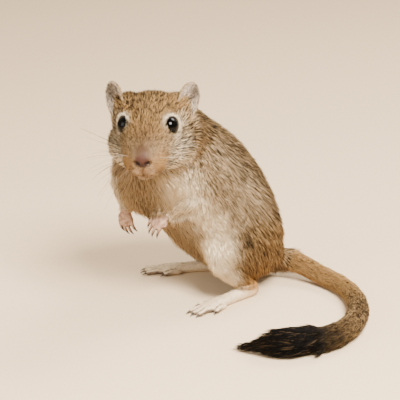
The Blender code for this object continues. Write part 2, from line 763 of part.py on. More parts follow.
def puffed(form, name, by):
    """A copy of a form, moved outwards by a distance in millimetres."""
    made = copied(form, name)
    normals = [v.normal.copy() for v in made.data.vertices]
    for vertex, normal in zip(made.data.vertices, normals):
        vertex.co += normal * by * MM
    return made


def hull_around(form, name, by):
    """A closed convex form that holds all of another, with some room to spare."""
    points = bmesh.new()
    for vertex in form.data.vertices:
        points.verts.new(vertex.co)
    bmesh.ops.convex_hull(points, input=points.verts)
    bmesh.ops.delete(points, geom=[v for v in points.verts if not v.link_faces], context="VERTS")
    bmesh.ops.recalc_face_normals(points, faces=points.faces)
    mesh = bpy.data.meshes.new(name)
    points.to_mesh(mesh)
    points.free()
    hull = bpy.data.objects.new(name, mesh)
    bpy.context.scene.collection.objects.link(hull)
    around = puffed(hull, name, by)
    removed([hull])
    return around


def clear():
    for old in list(bpy.data.objects):
        bpy.data.objects.remove(old)


def finish(node, name, colour, roughness):
    """Gives a node its own plain material, and smooth shading up to its sharp edges."""
    made = bpy.data.materials.new(name)
    made.use_nodes = True
    shader = made.node_tree.nodes["Principled BSDF"]
    shader.inputs["Base Color"].default_value = (*colour, 1)
    shader.inputs["Roughness"].default_value = roughness
    shader.inputs["Metallic"].default_value = 0.0
    node.data.materials.clear()
    node.data.materials.append(made)
    node.data.shade_smooth()
    node.data.set_sharp_from_angle(angle=math.radians(40))


def cut_limb(rest, name, rows, side, grow=0.45):
    """Parts a limb from the skin that was blended over it."""
    inner = limb("in", rows, side, grow, 2, 12)
    outer = limb("out", rows, side, grow + GAP, 2, 12)
    return parted(rest, name, inner, outer)


def eyes():
    made = {}
    for side, sign in (("left", 1), ("right", -1)):
        centre = head_spot(EYE_PLACE[0], sign * EYE_PLACE[1], EYE_PLACE[2])
        axes = [eye_axis(sign), eye_axis(sign).orthogonal().normalized()]
        axes.append(axes[0].cross(axes[1]))
        made[f"eye_{side}"] = ellipsoid(f"eye_{side}", centre, axes, (EYE_RADIUS,) * 3, 9, 14)
    return made


def tail_lengths(trunk_skin):
    """The tail parted from the trunk and into its lengths, cut from the tip back."""
    tail = tail_form("tail_base", 1.0, len(TAIL) - 1)
    names = ["tail_middle", "tail_bend", "tail_brush"]
    made = {}
    for name, row in reversed(list(zip(names, TAIL_CUTS[1:]))):
        made[name] = plane_part(tail, name, *tail_cut(row))
    removed([made["tail_brush"]])
    place, along = tail_cut(TAIL_CUTS[-1])
    keep = slab("keep", place, along, GAP / 2, 60)
    made["tail_brush"] = largest(cut(brush("tail_brush"), keep, "INTERSECT"))
    removed([keep])
    place, along = tail_cut(TAIL_CUTS[0])
    removed([plane_part(trunk_skin, "stump", place, along, 11)])
    keep = slab("keep", place, along, GAP / 2, 120)
    made["tail_base"] = cut(tail, keep, "INTERSECT")
    removed([keep])
    return made


def whole_skin():
    """Trunk, limbs, head and tail as one skin, with the face on it."""
    forms = [trunk("torso", TORSO), trunk("neck", NECK), skull("skull"), chest(), tail_form("rump", 0, 2.4)]
    for side in SIDES:
        forms += [limb("thigh", THIGH, side), limb("shank", SHANK, side)]
        forms += [limb("upper arm", UPPER_ARM[side], side), limb("forearm", FOREARM[side], side)]
    rough = blended(gathered("torso", forms + cheek_forms()), BODY_VOXEL, 12)
    return blended(gathered("torso", [rough, *face_forms()]), FACE_VOXEL, 2)


def build():
    clear()
    nodes = {}
    whole = whole_skin()
    head = plane_part(whole, "head", head_spot(-28.0, 0, -1.5), head_direction(0.80, 0, 0.60))
    thinned(head, HEAD_TRIANGLES)
    thinned(whole, BODY_TRIANGLES)
    for groove in grooves(head):
        cut(head, groove)
        removed([groove])
    nodes.update(eyes())
    around = puffed(head, "around the head", GAP)
    for side in SIDES:
        nodes[f"ear_{side}"] = largest(cut(ear(side), around))
    removed([around])
    nodes["neck"] = plane_part(whole, "neck", spot(30.5, 4.5, 54.0), direction(0.42, 0.35, 0.84))
    for side in SIDES:
        paw, wrist, ahead = forepaw(side)
        nodes[f"forepaw_{side}"] = paw
        palm = hull_around(paw, "around the paw", GAP)
        cut(whole, palm)
        removed([palm])
        nodes[f"forearm_{side}"] = cut_limb(whole, f"forearm_{side}", FOREARM[side], side)
        beyond = slab("beyond", wrist, ahead, -GAP / 2, 30)
        cut(nodes[f"forearm_{side}"], beyond)
        removed([beyond])
        nodes[f"upper_arm_{side}"] = cut_limb(whole, f"upper_arm_{side}", UPPER_ARM[side], side)
        nodes[f"shank_{side}"] = cut_limb(whole, f"shank_{side}", SHANK, side)
        nodes[f"thigh_{side}"] = cut_limb(whole, f"thigh_{side}", THIGH, side)
        foot = hind_foot(side)
        ankle = slab("ankle", spot(0, 0, 4.8), Vector((0, 0, 1)), -GAP / 2, 60)
        cut(foot, ankle)
        removed([ankle])
        sole = slab("above the ankle", spot(0, 0, 4.8), Vector((0, 0, -1)), -GAP / 2, 60)
        cut(nodes[f"shank_{side}"], sole)
        removed([sole])
        nodes[f"hindfoot_{side}"] = largest(foot)
    nodes.update(tail_lengths(whole))
    nodes["head"] = head
    nodes["torso"] = whole
    for name, node in nodes.items():
        floor_cut(node)
        node.name = name
        kind = name.split("_")[0]
        finish(node, f"{name} finish", *FINISHES.get(kind, FINISHES["torso"]))


build()
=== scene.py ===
import math

import bmesh
import bpy
import numpy as np
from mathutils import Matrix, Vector
from mathutils.bvhtree import BVHTree


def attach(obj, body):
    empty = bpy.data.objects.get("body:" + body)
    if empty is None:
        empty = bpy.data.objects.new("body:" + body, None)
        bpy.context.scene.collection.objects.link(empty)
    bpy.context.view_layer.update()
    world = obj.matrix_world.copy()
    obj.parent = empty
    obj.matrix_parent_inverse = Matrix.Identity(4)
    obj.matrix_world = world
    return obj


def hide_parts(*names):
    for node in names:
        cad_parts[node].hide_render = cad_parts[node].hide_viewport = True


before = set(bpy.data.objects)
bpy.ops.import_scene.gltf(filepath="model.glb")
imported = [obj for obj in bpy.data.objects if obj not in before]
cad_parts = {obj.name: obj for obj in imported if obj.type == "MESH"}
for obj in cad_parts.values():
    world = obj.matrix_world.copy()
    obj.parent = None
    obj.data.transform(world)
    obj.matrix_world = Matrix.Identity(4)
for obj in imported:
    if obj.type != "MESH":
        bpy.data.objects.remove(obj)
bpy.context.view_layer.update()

# Places are in millimetres: forward, left and up from the floor between the heels, as in the solids.
plan = {"centre": (12.93, 22.77), "mm": 0.001}
headPlan = {"nose": (50.5, 31.5, 59.3), "yaw": 58.5, "pitch": -7.0, "roll": 1.0}
sides = (("left", 1), ("right", -1))
scene = bpy.context.scene


def toWorld(points):
    forward, left, up = np.atleast_2d(np.asarray(points, float)).T
    return np.stack([left - plan["centre"][1], plan["centre"][0] - forward, up], 1) * plan["mm"]


def toAnimal(points):
    x, y, z = (np.asarray(points, float) / plan["mm"]).T
    return np.stack([plan["centre"][0] - y, x + plan["centre"][1], z], 1)


def turned(vectors):
    # A direction in forward, left and up, as one in the frame.
    forward, left, up = np.atleast_2d(vectors).T
    return np.stack([left, -forward, up], 1)


def unit(vectors):
    vectors = np.asarray(vectors, float)
    return vectors / np.maximum(np.linalg.norm(vectors, axis=-1, keepdims=True), 1e-12)


def headAxes():
    yaw, pitch, roll = (math.radians(headPlan[k]) for k in ("yaw", "pitch", "roll"))
    ahead = np.array([math.cos(yaw) * math.cos(pitch), math.sin(yaw) * math.cos(pitch), math.sin(pitch)])
    left = unit(np.cross([0, 0, 1], ahead))
    left = left * math.cos(roll) + np.cross(ahead, left) * math.sin(roll)
    return np.stack([ahead, left, np.cross(ahead, left)])


headBasis = headAxes()


def fromHead(points):
    return np.asarray(points, float) @ headBasis + headPlan["nose"]


def toHead(points):
    return (points - headPlan["nose"]) @ headBasis.T


def smoothStep(low, high, values):
    t = np.clip((values - low) / (high - low), 0, 1)
    return t * t * (3 - 2 * t)


def blob(points, centre, radii, soft):
    # 1 inside an ellipsoid, falling to 0 outside it.
    away = np.linalg.norm((points - np.asarray(centre, float)) / np.asarray(radii, float), axis=1)
    return 1 - smoothStep(1 - soft, 1 + soft, away)


def meshObject(name, points, faces, inWorld=False):
    mesh = bpy.data.meshes.new(name)
    mesh.from_pydata([tuple(p) for p in (points if inWorld else toWorld(points))], [], faces)
    made = bpy.data.objects.new(name, mesh)
    scene.collection.objects.link(made)
    return made


def coordinates(mesh, what="co"):
    read = np.empty(len(mesh.vertices) * 3)
    mesh.vertices.foreach_get(what, read)
    return read.reshape(-1, 3)


def normalsOf(mesh):
    return coordinates(mesh, "normal")


def place(mesh, co):
    mesh.vertices.foreach_set("co", np.ascontiguousarray(co, np.float32).ravel())
    mesh.update()


def settle(piece):
    # Applies the modifiers to the piece's own mesh.
    bpy.context.view_layer.update()
    mesh = bpy.data.meshes.new_from_object(piece.evaluated_get(bpy.context.evaluated_depsgraph_get()))
    piece.modifiers.clear()
    piece.data = mesh
    return piece


def throughRows(rows, steps):
    # Rows of numbers read along a smooth curve through the given rows.
    rows = np.asarray(rows, float)
    ends = np.vstack([2 * rows[0] - rows[1], rows, 2 * rows[-1] - rows[-2]])
    read = []
    for k in range(len(rows) - 1):
        a, b, c, d = ends[k : k + 4]
        for t in np.arange(steps) / steps:
            read.append(
                (2 * b + (c - a) * t + (2 * a - 5 * b + 4 * c - d) * t**2 + (3 * b - a - 3 * c + d) * t**3) / 2
            )
    return np.array([*read, rows[-1]])


def closedFaces(count, around):
    # The faces of a form made of rings of points, with a point more at each end.
    faces = [
        (k * around + i, k * around + (i + 1) % around, (k + 1) * around + (i + 1) % around, (k + 1) * around + i)
        for k in range(count - 1)
        for i in range(around)
    ]
    tip, edge = count * around, (count - 1) * around
    faces += [((i + 1) % around, i, tip) for i in range(around)]
    return faces + [(edge + i, edge + (i + 1) % around, tip + 1) for i in range(around)]


def tube(points, sizes, up, around):
    # A closed form along points: each size is its half width and half height.
    points = np.asarray(points, float)
    sizes = np.asarray(sizes, float)
    if sizes.ndim == 1:
        sizes = np.stack([sizes, sizes], 1)
    along = unit(np.gradient(points, axis=0))
    caps = [(math.sin(a), math.cos(a)) for a in np.radians((75, 40))]
    first = [(points[0] - along[0] * sizes[0].mean() * s, sizes[0] * c) for s, c in caps]
    last = [(points[-1] + along[-1] * sizes[-1].mean() * s, sizes[-1] * c) for s, c in caps[::-1]]
    points = np.vstack([[p for p, s in first], points, [p for p, s in last]])
    sizes = np.vstack([[s for p, s in first], sizes, [s for p, s in last]])
    along = np.vstack([along[:1], along[:1], along, along[-1:], along[-1:]])
    across = unit(np.cross(np.broadcast_to(up, along.shape), along))
    top = np.cross(along, across)
    turn = np.linspace(0, 2 * math.pi, around, endpoint=False)
    rings = points[:, None] + across[:, None] * (sizes[:, :1] * np.cos(turn))[:, :, None]
    rings = rings + top[:, None] * (sizes[:, 1:] * np.sin(turn))[:, :, None]
    return np.vstack([rings.reshape(-1, 3), rings[0].mean(0), rings[-1].mean(0)]), closedFaces(len(points), around)


def ball(centre, radius, axes, rings, around):
    lean = np.pi * np.arange(1, rings) / rings
    turn = 2 * np.pi * np.arange(around) / around
    level, reach = np.repeat(np.cos(lean), around), np.sin(lean)[:, None]
    units = np.stack([level, (reach * np.cos(turn)).ravel(), (reach * np.sin(turn)).ravel()], 1)
    units = np.vstack([units, [1, 0, 0], [-1, 0, 0]])
    return centre + (units * radius) @ axes, closedFaces(rings - 1, around)


def gathered(forms):
    # Several (points, faces) as one.
    points, faces, count = [], [], 0
    for these, those in forms:
        points.append(these)
        faces += [tuple(count + i for i in face) for face in those]
        count += len(these)
    return np.vstack(points), faces


# Hands and hind feet, finer than the solids' and in the same places
handPlan = {
    "left": {"wrist": (32.8, 9.8, 32.4), "aim": (6.4, -1.8, -6.6), "back": (0.7, 0.6, 0.45)},
    "right": {"wrist": (38.8, 9.8, 29.0), "aim": (0.6, -1.6, -7.6), "back": (0.75, -0.55, 0.3)},
    "palm": [(-4.0, 1.9, 1.8), (-1.5, 1.9, 1.7), (1.2, 2.0, 1.4), (3.2, 2.5, 1.2), (4.6, 2.4, 0.85)],
    "finger": {
        "length": 4.4, "shorter": 0.7, "radius": 0.6, "claw": 2.6, "curl": 1.25,
        "reach": 4.1, "arc": 0.5, "spacing": 2.15, "spread": 0.05, "rise": 0.25, "sunk": 0.1,
    },
    "thumb": {"length": 1.1, "radius": 0.55, "claw": 0.3, "curl": 0.3, "place": (2.2, 2.2, 0.4), "spread": 0.6},
}
footPlan = {
    "left": (2.6, 12.6),
    "right": (1.6, 12.2),
    "splay": 18.0,
    "stretch": 1.1,
    "sink": 0.35,
    "sole": [
        (0.6, 0.0, 2.7, 2.3, 2.6),
        (4.0, 0.0, 2.5, 2.4, 2.4),
        (10.0, 0.0, 1.9, 2.2, 1.8),
        (16.0, 0.0, 1.7, 2.9, 1.6),
        (19.5, 0.0, 1.5, 3.1, 1.3),
    ],
    "shin": [(11.8, 15.0, 10.6, 3.9), (7.6, 14.0, 7.0, 3.3), (4.6, 13.0, 3.6, 2.6)],
    "toe": {
        "length": 6.6, "shorter": 1.6, "radius": 0.95, "claw": 2.2, "curl": 0.22,
        "reach": 14.8, "further": 3.4, "arc": 0.5, "spacing": 2.45, "height": 1.4, "rise": 0.1,
        "spread": 0.26, "outerSpread": 0.34,
    },
}
digitPlan = {
    "steps": 8, "root": 1.1, "knuckle": 0.16, "knuckles": 2.6, "taper": 0.24,
    "clawRoot": 0.46, "clawTip": 0.08, "clawBend": 0.45,
}
clawForms = []


def digit(root, aim, down, length, values):
    # A finger or toe bending towards down along its length, with knuckles, and its claw kept apart.
    steps, radius, claw = digitPlan["steps"], values["radius"], values["claw"]
    heading = unit(aim)
    places, sizes = [np.asarray(root, float)], [radius * digitPlan["root"]]
    for k in range(1, steps + 1):
        share = k / steps
        heading = unit(heading + down * values["curl"] / steps)
        places.append(places[-1] + heading * length / steps)
        knuckle = 1.0 + digitPlan["knuckle"] * math.sin(share * digitPlan["knuckles"] * math.pi) ** 2
        sizes.append(radius * knuckle * (1 - digitPlan["taper"] * share))
    nailTip = unit(heading + down * digitPlan["clawBend"])
    start = places[-1] - heading * 0.15
    nail = [start, start + heading * claw * 0.5, start + heading * claw * 0.62 + nailTip * claw * 0.42]
    thick = np.linspace(digitPlan["clawRoot"], digitPlan["clawTip"], 7)
    clawForms.append(tube(throughRows(nail, 3), thick, -down, 8))
    return tube(places, sizes, -down, 12)


def hand(side, sign):
    values = handPlan[side]
    mirrored = np.array([1, sign, 1])
    wrist = np.array(values["wrist"]) * mirrored
    ahead = unit(np.array(values["aim"]) * mirrored)
    across = unit(np.cross(unit(np.array(values["back"]) * mirrored), ahead))
    back = np.cross(ahead, across)
    across = across * -sign
    rows = throughRows(handPlan["palm"], 3)
    forms = [tube(wrist + ahead * rows[:, :1], rows[:, 1:], back, 18)]
    finger, thumb = handPlan["finger"], handPlan["thumb"]
    for k in range(4):
        spread = (k - 1.5) / 1.5
        root = wrist + ahead * (finger["reach"] - finger["arc"] * spread**2)
        root = root + across * spread * finger["spacing"] - back * finger["sunk"]
        aim = ahead + across * spread * finger["spread"] + back * finger["rise"]
        forms.append(digit(root, aim, -back, finger["length"] - finger["shorter"] * spread**2, finger))
    forth, inward, under = thumb["place"]
    root = wrist + ahead * forth - across * inward - back * under
    forms.append(digit(root, ahead - across * thumb["spread"], -back, thumb["length"], thumb))
    return forms


def hindFoot(side, sign):
    forward, out = footPlan[side]
    splay = math.radians(footPlan["splay"])

    def footSpot(ahead, inward, up):
        x = forward + math.cos(splay) * ahead * footPlan["stretch"] + math.sin(splay) * inward
        y = out + math.sin(splay) * ahead * footPlan["stretch"] - math.cos(splay) * inward
        return np.array([x, sign * y, up - footPlan["sink"]])

    rise = np.array([0.0, 0.0, 1.0])
    rows = throughRows(footPlan["sole"], 3)
    forms = [tube([footSpot(*row[:3]) for row in rows], rows[:, 3:], rise, 18)]
    ahead = unit(footSpot(1, 0, 0) - footSpot(0, 0, 0))
    inner = unit(footSpot(0, 1, 0) - footSpot(0, 0, 0))
    toe = footPlan["toe"]
    for k in range(5):
        spread = (k - 2) / 2
        long = abs(spread) < 0.9
        reach = toe["reach"] + toe["further"] * long - toe["arc"] * abs(spread)
        root = footSpot(reach, spread * toe["spacing"], toe["height"])
        aim = ahead + inner * spread * (toe["spread"] if long else toe["outerSpread"]) + rise * toe["rise"]
        forms.append(digit(root, aim, -rise, toe["length"] if long else toe["length"] - toe["shorter"], toe))
    shin = throughRows(np.array(footPlan["shin"]) * (1, sign, 1, 1), 3)
    forms.append(tube(shin[:, :3], shin[:, 3], np.array([0.6, 0.0, 0.8]), 18))
    return forms


fineForms = []
for side, sign in sides:
    fineForms += hand(side, sign) + hindFoot(side, sign)
print("hands and feet:", len(fineForms), "forms")

# The skin: every node of flesh made one, then drawn in by the depth of the coat there
skinPlan = {
    "puff": 0.24,
    "voxel": 0.26,
    "soften": 4,
    "blend": 110,
    "triangles": 150000,
    "depth": {
        "torso": 2.1, "neck": 1.9, "head": 1.0, "ear": 0.06, "upper": 1.7, "forearm": 0.8, "forepaw": 0.03,
        "thigh": 2.0, "shank": 1.0, "hindfoot": 0.06, "tail": 0.9,
    },
    "brushDepth": 0.3,
    "runIn": 70,
    "hipRunIn": 60,
    "refill": 0.45,
    "floorNear": 0.5,
    "core": {
        "first": 7.6, "last": 12.3, "step": 0.12, "root": 0.84,
        "swell": (8.5, 10.0, 0.06), "fall": (10.4, 12.3, 0.64),
    },
}
fleshNames = sorted(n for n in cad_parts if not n.startswith("eye"))


def nodeKind(name):
    return name.split("_")[0]


def nodeMesh(name):
    # The node's own mesh with its split points joined again, in the frame.
    mesh = bmesh.new()
    mesh.from_mesh(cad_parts[name].data)
    bmesh.ops.remove_doubles(mesh, verts=mesh.verts, dist=1e-6)
    bmesh.ops.recalc_face_normals(mesh, faces=mesh.faces)
    mesh.verts.ensure_lookup_table()
    mesh.normal_update()
    return mesh


def neighbours(mesh):
    ends = np.empty(len(mesh.edges) * 2, np.int64)
    mesh.edges.foreach_get("vertices", ends)
    a, b = ends.reshape(-1, 2).T
    return a, b, np.bincount(np.r_[a, b], minlength=len(mesh.vertices))


def evened(values, near, passes, share=0.5):
    # Values on a mesh's points, evened along its edges.
    a, b, degree = near
    values = np.array(values, float)
    flat = values.reshape(len(values), -1)
    for _ in range(passes):
        for column in range(flat.shape[1]):
            one = flat[:, column]
            around = np.bincount(a, one[b], len(one)) + np.bincount(b, one[a], len(one))
            flat[:, column] = one + share * (around / np.maximum(degree, 1) - one)
    return flat.reshape(values.shape)


surfaces = {name: nodeMesh(name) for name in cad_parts}
allPoints, allFaces, faceNode = [], [], []
for index, name in enumerate(fleshNames):
    mesh = surfaces[name]
    start = len(allPoints)
    allPoints += [v.co.copy() for v in mesh.verts]
    allFaces += [tuple(start + v.index for v in f.verts) for f in mesh.faces]
    faceNode += [index] * len(mesh.faces)
solidTree = BVHTree.FromPolygons(allPoints, allFaces)


def nodeIndexOf(co):
    return np.array([faceNode[solidTree.find_nearest(Vector(p))[2]] for p in co])


tailLine = [
    (-6.0, 0.0, 9), (-12.5, 2.0, 8.2), (-17.6, 7.5, 6.2), (-21.8, 15.0, 4.1), (-24.0, 24.0, 3.5), (-23.4, 33.5, 3.5),
    (-20.0, 43.5, 3.6), (-14.4, 52.3, 3.8), (-7.2, 59.4, 4.0), (1.2, 63.6, 4.3), (10.0, 64.2, 4.6), (17.6, 61.6, 4.2),
    (23.4, 57.0, 2.6), (27.2, 52.8, 1.2),
]
tailSteps = 6
tailRead = throughRows(tailLine, tailSteps)
tailAlong = unit(np.gradient(tailRead, axis=0))


def brushCore():
    # The tail's own end, inside the strands of the brush.
    values = skinPlan["core"]
    rows = np.arange(values["first"], values["last"] + 0.01, values["step"])
    read = np.array([tailRead[int(round(r * tailSteps))] for r in rows])
    *swelling, swell = values["swell"]
    *falling, fall = values["fall"]
    share = values["root"] + swell * smoothStep(*swelling, rows) - fall * smoothStep(*falling, rows)
    return tube(read, read[:, 2] * share, np.array([0.0, 0.0, 1.0]), 18)


def makeSkin():
    forms = []
    for name in fleshNames:
        if nodeKind(name) in ("forepaw", "hindfoot") or name == "tail_brush":
            continue
        mesh = surfaces[name]
        grown = [tuple(v.co + v.normal * skinPlan["puff"] * plan["mm"]) for v in mesh.verts]
        forms.append((np.array(grown), [tuple(v.index for v in f.verts) for f in mesh.faces]))
    forms += [(toWorld(points), faces) for points, faces in [*fineForms, brushCore()]]
    skin = meshObject("skin", *gathered(forms), inWorld=True)
    remesh = skin.modifiers.new("one skin", "REMESH")
    remesh.mode = "VOXEL"
    remesh.voxel_size = skinPlan["voxel"] * plan["mm"]
    soften = skin.modifiers.new("soften", "SMOOTH")
    soften.factor = 0.5
    soften.iterations = skinPlan["soften"]
    return settle(skin)


def largestOnly(piece):
    mesh = bmesh.new()
    mesh.from_mesh(piece.data)
    mesh.verts.ensure_lookup_table()
    left = set(mesh.verts)
    best = set()
    while left:
        start = left.pop()
        group, edge = {start}, [start]
        while edge:
            for link in edge.pop().link_edges:
                for end in link.verts:
                    if end in left:
                        left.discard(end)
                        group.add(end)
                        edge.append(end)
        if len(group) > len(best):
            best = group
    bmesh.ops.delete(mesh, geom=[v for v in mesh.verts if v not in best], context="VERTS")
    mesh.to_mesh(piece.data)
    mesh.free()
    return piece


# Landmarks of the head, from the nose tip: ahead, left, up
facePlan = {
    "eye": (-14.8, 6.7, 5.0),
    "eyeOutward": 50.0,
    "eyeUpward": 8.0,
    "eyeOpening": 73.0,
    "socket": 2.6,  # from the eye's middle to the skin behind it
    "socketReach": 4.6,
    "rim": 3.25,
    "rimReach": (1.5, 92),
    "ring": 3.05,
    "mouth": [(-9.6, 6.4, -5.8), (-7.0, 4.8, -6.7), (-4.6, 2.6, -6.6), (-3.4, 0, -6.2)],
}


# Places on the skin, on both sides alike: centre, radii, softness and share
markPlaces = {
    "creamBody": [
        ((19.0, 17.0, 20.0), (7.0, 7.0, 12.5), 0.4, 1.0),
        ((15.0, 17.5, 9.0), (4.5, 6.0, 6.0), 0.5, 0.9),
        ((30.5, 17.5, 43.0), (9.0, 7.0, 8.0), 0.8, 1.0),
        ((25.0, 16.5, 38.0), (7.0, 6.0, 7.5), 0.7, 0.85),
        ((21.0, 16.5, 32.0), (6.5, 6.0, 7.0), 0.6, 0.9),
        ((19.5, 16.0, 29.5), (6.0, 5.0, 8.0), 0.5, 0.95),
    ],
    "creamHead": [
        ((-19.0, 10.0, 4.0), (2.5, 3.0, 3.0), 0.7, 0.3),
        ((-15.0, 9.0, -8.5), (9.0, 7.0, 4.5), 0.5, 0.95),
        ((-6.0, 0.0, -9.5), (6.0, 5.5, 3.0), 0.5, 0.5),
        ((-12.5, 9.5, -3.5), (6.0, 5.0, 4.0), 0.6, 0.6),
    ],
    "orangeHead": [((-4.6, 4.2, -2.4), (4.2, 3.2, 2.8), 0.7, 0.85)],
    "orangeBody": [((2.5, 15.0, 5.0), (6.5, 6, 6.5), 0.6, 0.9)],
    "gold": [((-17, 0, 9), (17, 12.0, 8.0), 0.35, 1)],
    "bridge": [((-1.8, 0, 1.6), (4.4, 2.6, 2.8), 0.7, 1), ((-5.0, 0, 4.6), (5.5, 3.0, 3.5), 0.8, 0.55)],
    "lip": [((-2.6, 0, -5.4), (3.8, 3.6, 2.6), 0.8, 0.8)],
    "nose": [((-0.7, 0, -0.5), (2.3, 2.75, 2.3), 0.3, 1)],
    "nostril": [((0.2, 1.9, -1.4), (1.5, 1.3, 0.85), 0.4, 1), ((0.3, 0, -1.9), (1.6, 2.8, 0.8), 0.4, 0.55)],
    "thickCheek": [((-22, 11, -5), (9, 5, 7), 0.5, 0.7)],
    "longCheek": [((-23, 12, -5), (9, 6, 7), 0.5, 1.4)],
    "thinEye": [(facePlan["eye"], (5.0, 5.0, 5.0), 0.35, 0.95)],
    "shortEye": [(facePlan["eye"], (5.0, 5.0, 5.0), 0.3, 0.62)],
    "thinNose": [((-1, 0, -1), (3.2, 4.0, 3.2), 0.3, 1)],
    "ticksCheek": [((-16, 11, -1), (6, 4, 6), 0.5, 0.2)],
    "ticksCrown": [((-23, 0, 11), (9, 13, 6), 0.6, 0.3)],
    "hip": [((20.0, 15.0, 23.0), (9.0, 9.0, 12.0), 0.5, 1)],
    "brushRoot": [((10.0, 64.5, 4.5), (9.0, 9.0, 9.0), 0.5, 1)],
}


def marked(name, points):
    # The strongest of the places of one name, at each point.
    return np.max([share * blob(points, *place) for *place, share in markPlaces[name]], axis=0)


def mirroredIn(points):
    # The points with those of the right side on the left.
    return points * (1, 0, 1) + np.abs(points) * (0, 1, 0)


def coatDepth(inHead, kinds):
    depth = np.array([skinPlan["depth"][k] for k in kinds])
    onHead = kinds == "head"
    side = mirroredIn(inHead)
    headDepth = 0.25 + 0.95 * smoothStep(2, 16, -inHead[:, 0]) + marked("thickCheek", side)
    headDepth *= 1 - marked("thinEye", side)
    headDepth *= 1 - marked("thinNose", side)
    depth[onHead] = headDepth[onHead]
    return depth


def drawnIn(skin):
    mesh = skin.data
    co = coordinates(mesh)
    labels = nodeIndexOf(co)
    kinds = np.array([nodeKind(fleshNames[i]) for i in labels])
    depth = coatDepth(toHead(toAnimal(co)), kinds)
    depth[labels == fleshNames.index("tail_brush")] = skinPlan["brushDepth"]
    near = neighbours(mesh)
    depth = evened(depth, near, skinPlan["blend"])
    sharp = np.isin(kinds, ("forepaw", "hindfoot"))
    depth = np.where(sharp, np.minimum(depth, 0.05), depth + skinPlan["puff"])
    normals = unit(evened(normalsOf(mesh), near, 6))
    place(mesh, co - normals * depth[:, None] * plan["mm"])
    return skin


skin = drawnIn(largestOnly(makeSkin()))
lessen = skin.modifiers.new("lighter", "DECIMATE")
lessen.ratio = min(1.0, skinPlan["triangles"] / (2 * len(skin.data.polygons)))
settle(skin)
print("skin:", len(skin.data.polygons), "faces")


def softened(skin):
    # The trunk and the roots of the limbs run into each other without a step.
    mesh = skin.data
    co = coordinates(mesh)
    near = neighbours(mesh)
    kinds = np.array([nodeKind(fleshNames[i]) for i in nodeIndexOf(co)])
    share = evened(np.isin(kinds, ("torso", "thigh", "upper", "neck")).astype(float), near, 20)
    share = smoothStep(0.35, 0.95, share)[:, None]
    lifted = co + unit(evened(normalsOf(mesh), near, 20)) * skinPlan["refill"] * plan["mm"]
    co = co * (1 - share) + evened(lifted, near, skinPlan["runIn"]) * share
    share = marked("hip", mirroredIn(toAnimal(co)))[:, None]
    co = co * (1 - share) + evened(co, near, skinPlan["hipRunIn"]) * share
    share = marked("brushRoot", toAnimal(co))[:, None]
    place(mesh, co * (1 - share) + evened(co, near, skinPlan["runIn"]) * share)


softened(skin)

# Creases of the face, pressed into the skin: place, radii, depth
pressPlan = {
    "places": [((0.1, 2.0, -1.25), (1.5, 1.25, 0.75), 0.75), ((0.3, 0.0, -3.4), (1.4, 0.45, 2.2), 0.4)],
    "soft": 0.6,
    "mouth": 0.35,
    "mouthWidth": (0.2, 0.9),
}


def pressed(skin):
    mesh = skin.data
    co = coordinates(mesh)
    normals = normalsOf(mesh)
    side = mirroredIn(toHead(toAnimal(co)))
    push = np.zeros(len(co))
    for centre, radii, depth in pressPlan["places"]:
        push += depth * blob(side, centre, radii, pressPlan["soft"])
    line = throughRows(facePlan["mouth"], 8)
    close = (side[:, 0] > -14) & (side[:, 2] < -2)
    away = np.full(len(co), 9.0)
    away[close] = np.linalg.norm(side[close][:, None] - line[None], axis=2).min(1)
    push += pressPlan["mouth"] * (1 - smoothStep(*pressPlan["mouthWidth"], away))
    co = co - normals * push[:, None] * plan["mm"]
    co[:, 2] = np.maximum(co[:, 2], 0)
    place(mesh, co)
    return away


mouthAway = pressed(skin)


def eyeAxis(sign):
    outward, upward = math.radians(facePlan["eyeOutward"]), math.radians(facePlan["eyeUpward"])
    level = math.cos(upward)
    return np.array([math.cos(outward) * level, sign * math.sin(outward) * level, math.sin(upward)])


def openedEyes(skin):
    # Draws the skin back from the front of each eye, so that its rim is a clean round.
    mesh = skin.data
    co = coordinates(mesh)
    inHead = toHead(toAnimal(co))
    opening, rimNear, rimTurn = facePlan["eyeOpening"], *facePlan["rimReach"]
    for _, sign in sides:
        centre = np.array(facePlan["eye"]) * (1, sign, 1)
        away = inHead - centre
        far = np.maximum(np.linalg.norm(away, axis=1), 1e-9)
        turn = np.degrees(np.arccos(np.clip((away @ eyeAxis(sign)) / far, -1, 1)))
        inside = (turn < opening) & (far < facePlan["socketReach"])
        inHead[inside] = centre + away[inside] * (np.minimum(far[inside], facePlan["socket"]) / far[inside])[:, None]
        rim = (turn >= opening) & (turn < rimTurn) & (far < facePlan["rim"]) & (far > rimNear)
        inHead[rim] = centre + away[rim] * (facePlan["rim"] / far[rim])[:, None]
    place(mesh, toWorld(fromHead(inHead)))


openedEyes(skin)


def rimAway(side):
    # How far each point is from the round edge of the eye's opening.
    away = side - np.array(facePlan["eye"])
    height = away @ eyeAxis(1)
    opening = math.radians(facePlan["eyeOpening"])
    reach = np.linalg.norm(away - height[:, None] * eyeAxis(1), axis=1)
    ring = facePlan["ring"]
    return np.hypot(reach - ring * math.sin(opening), height - ring * math.cos(opening))


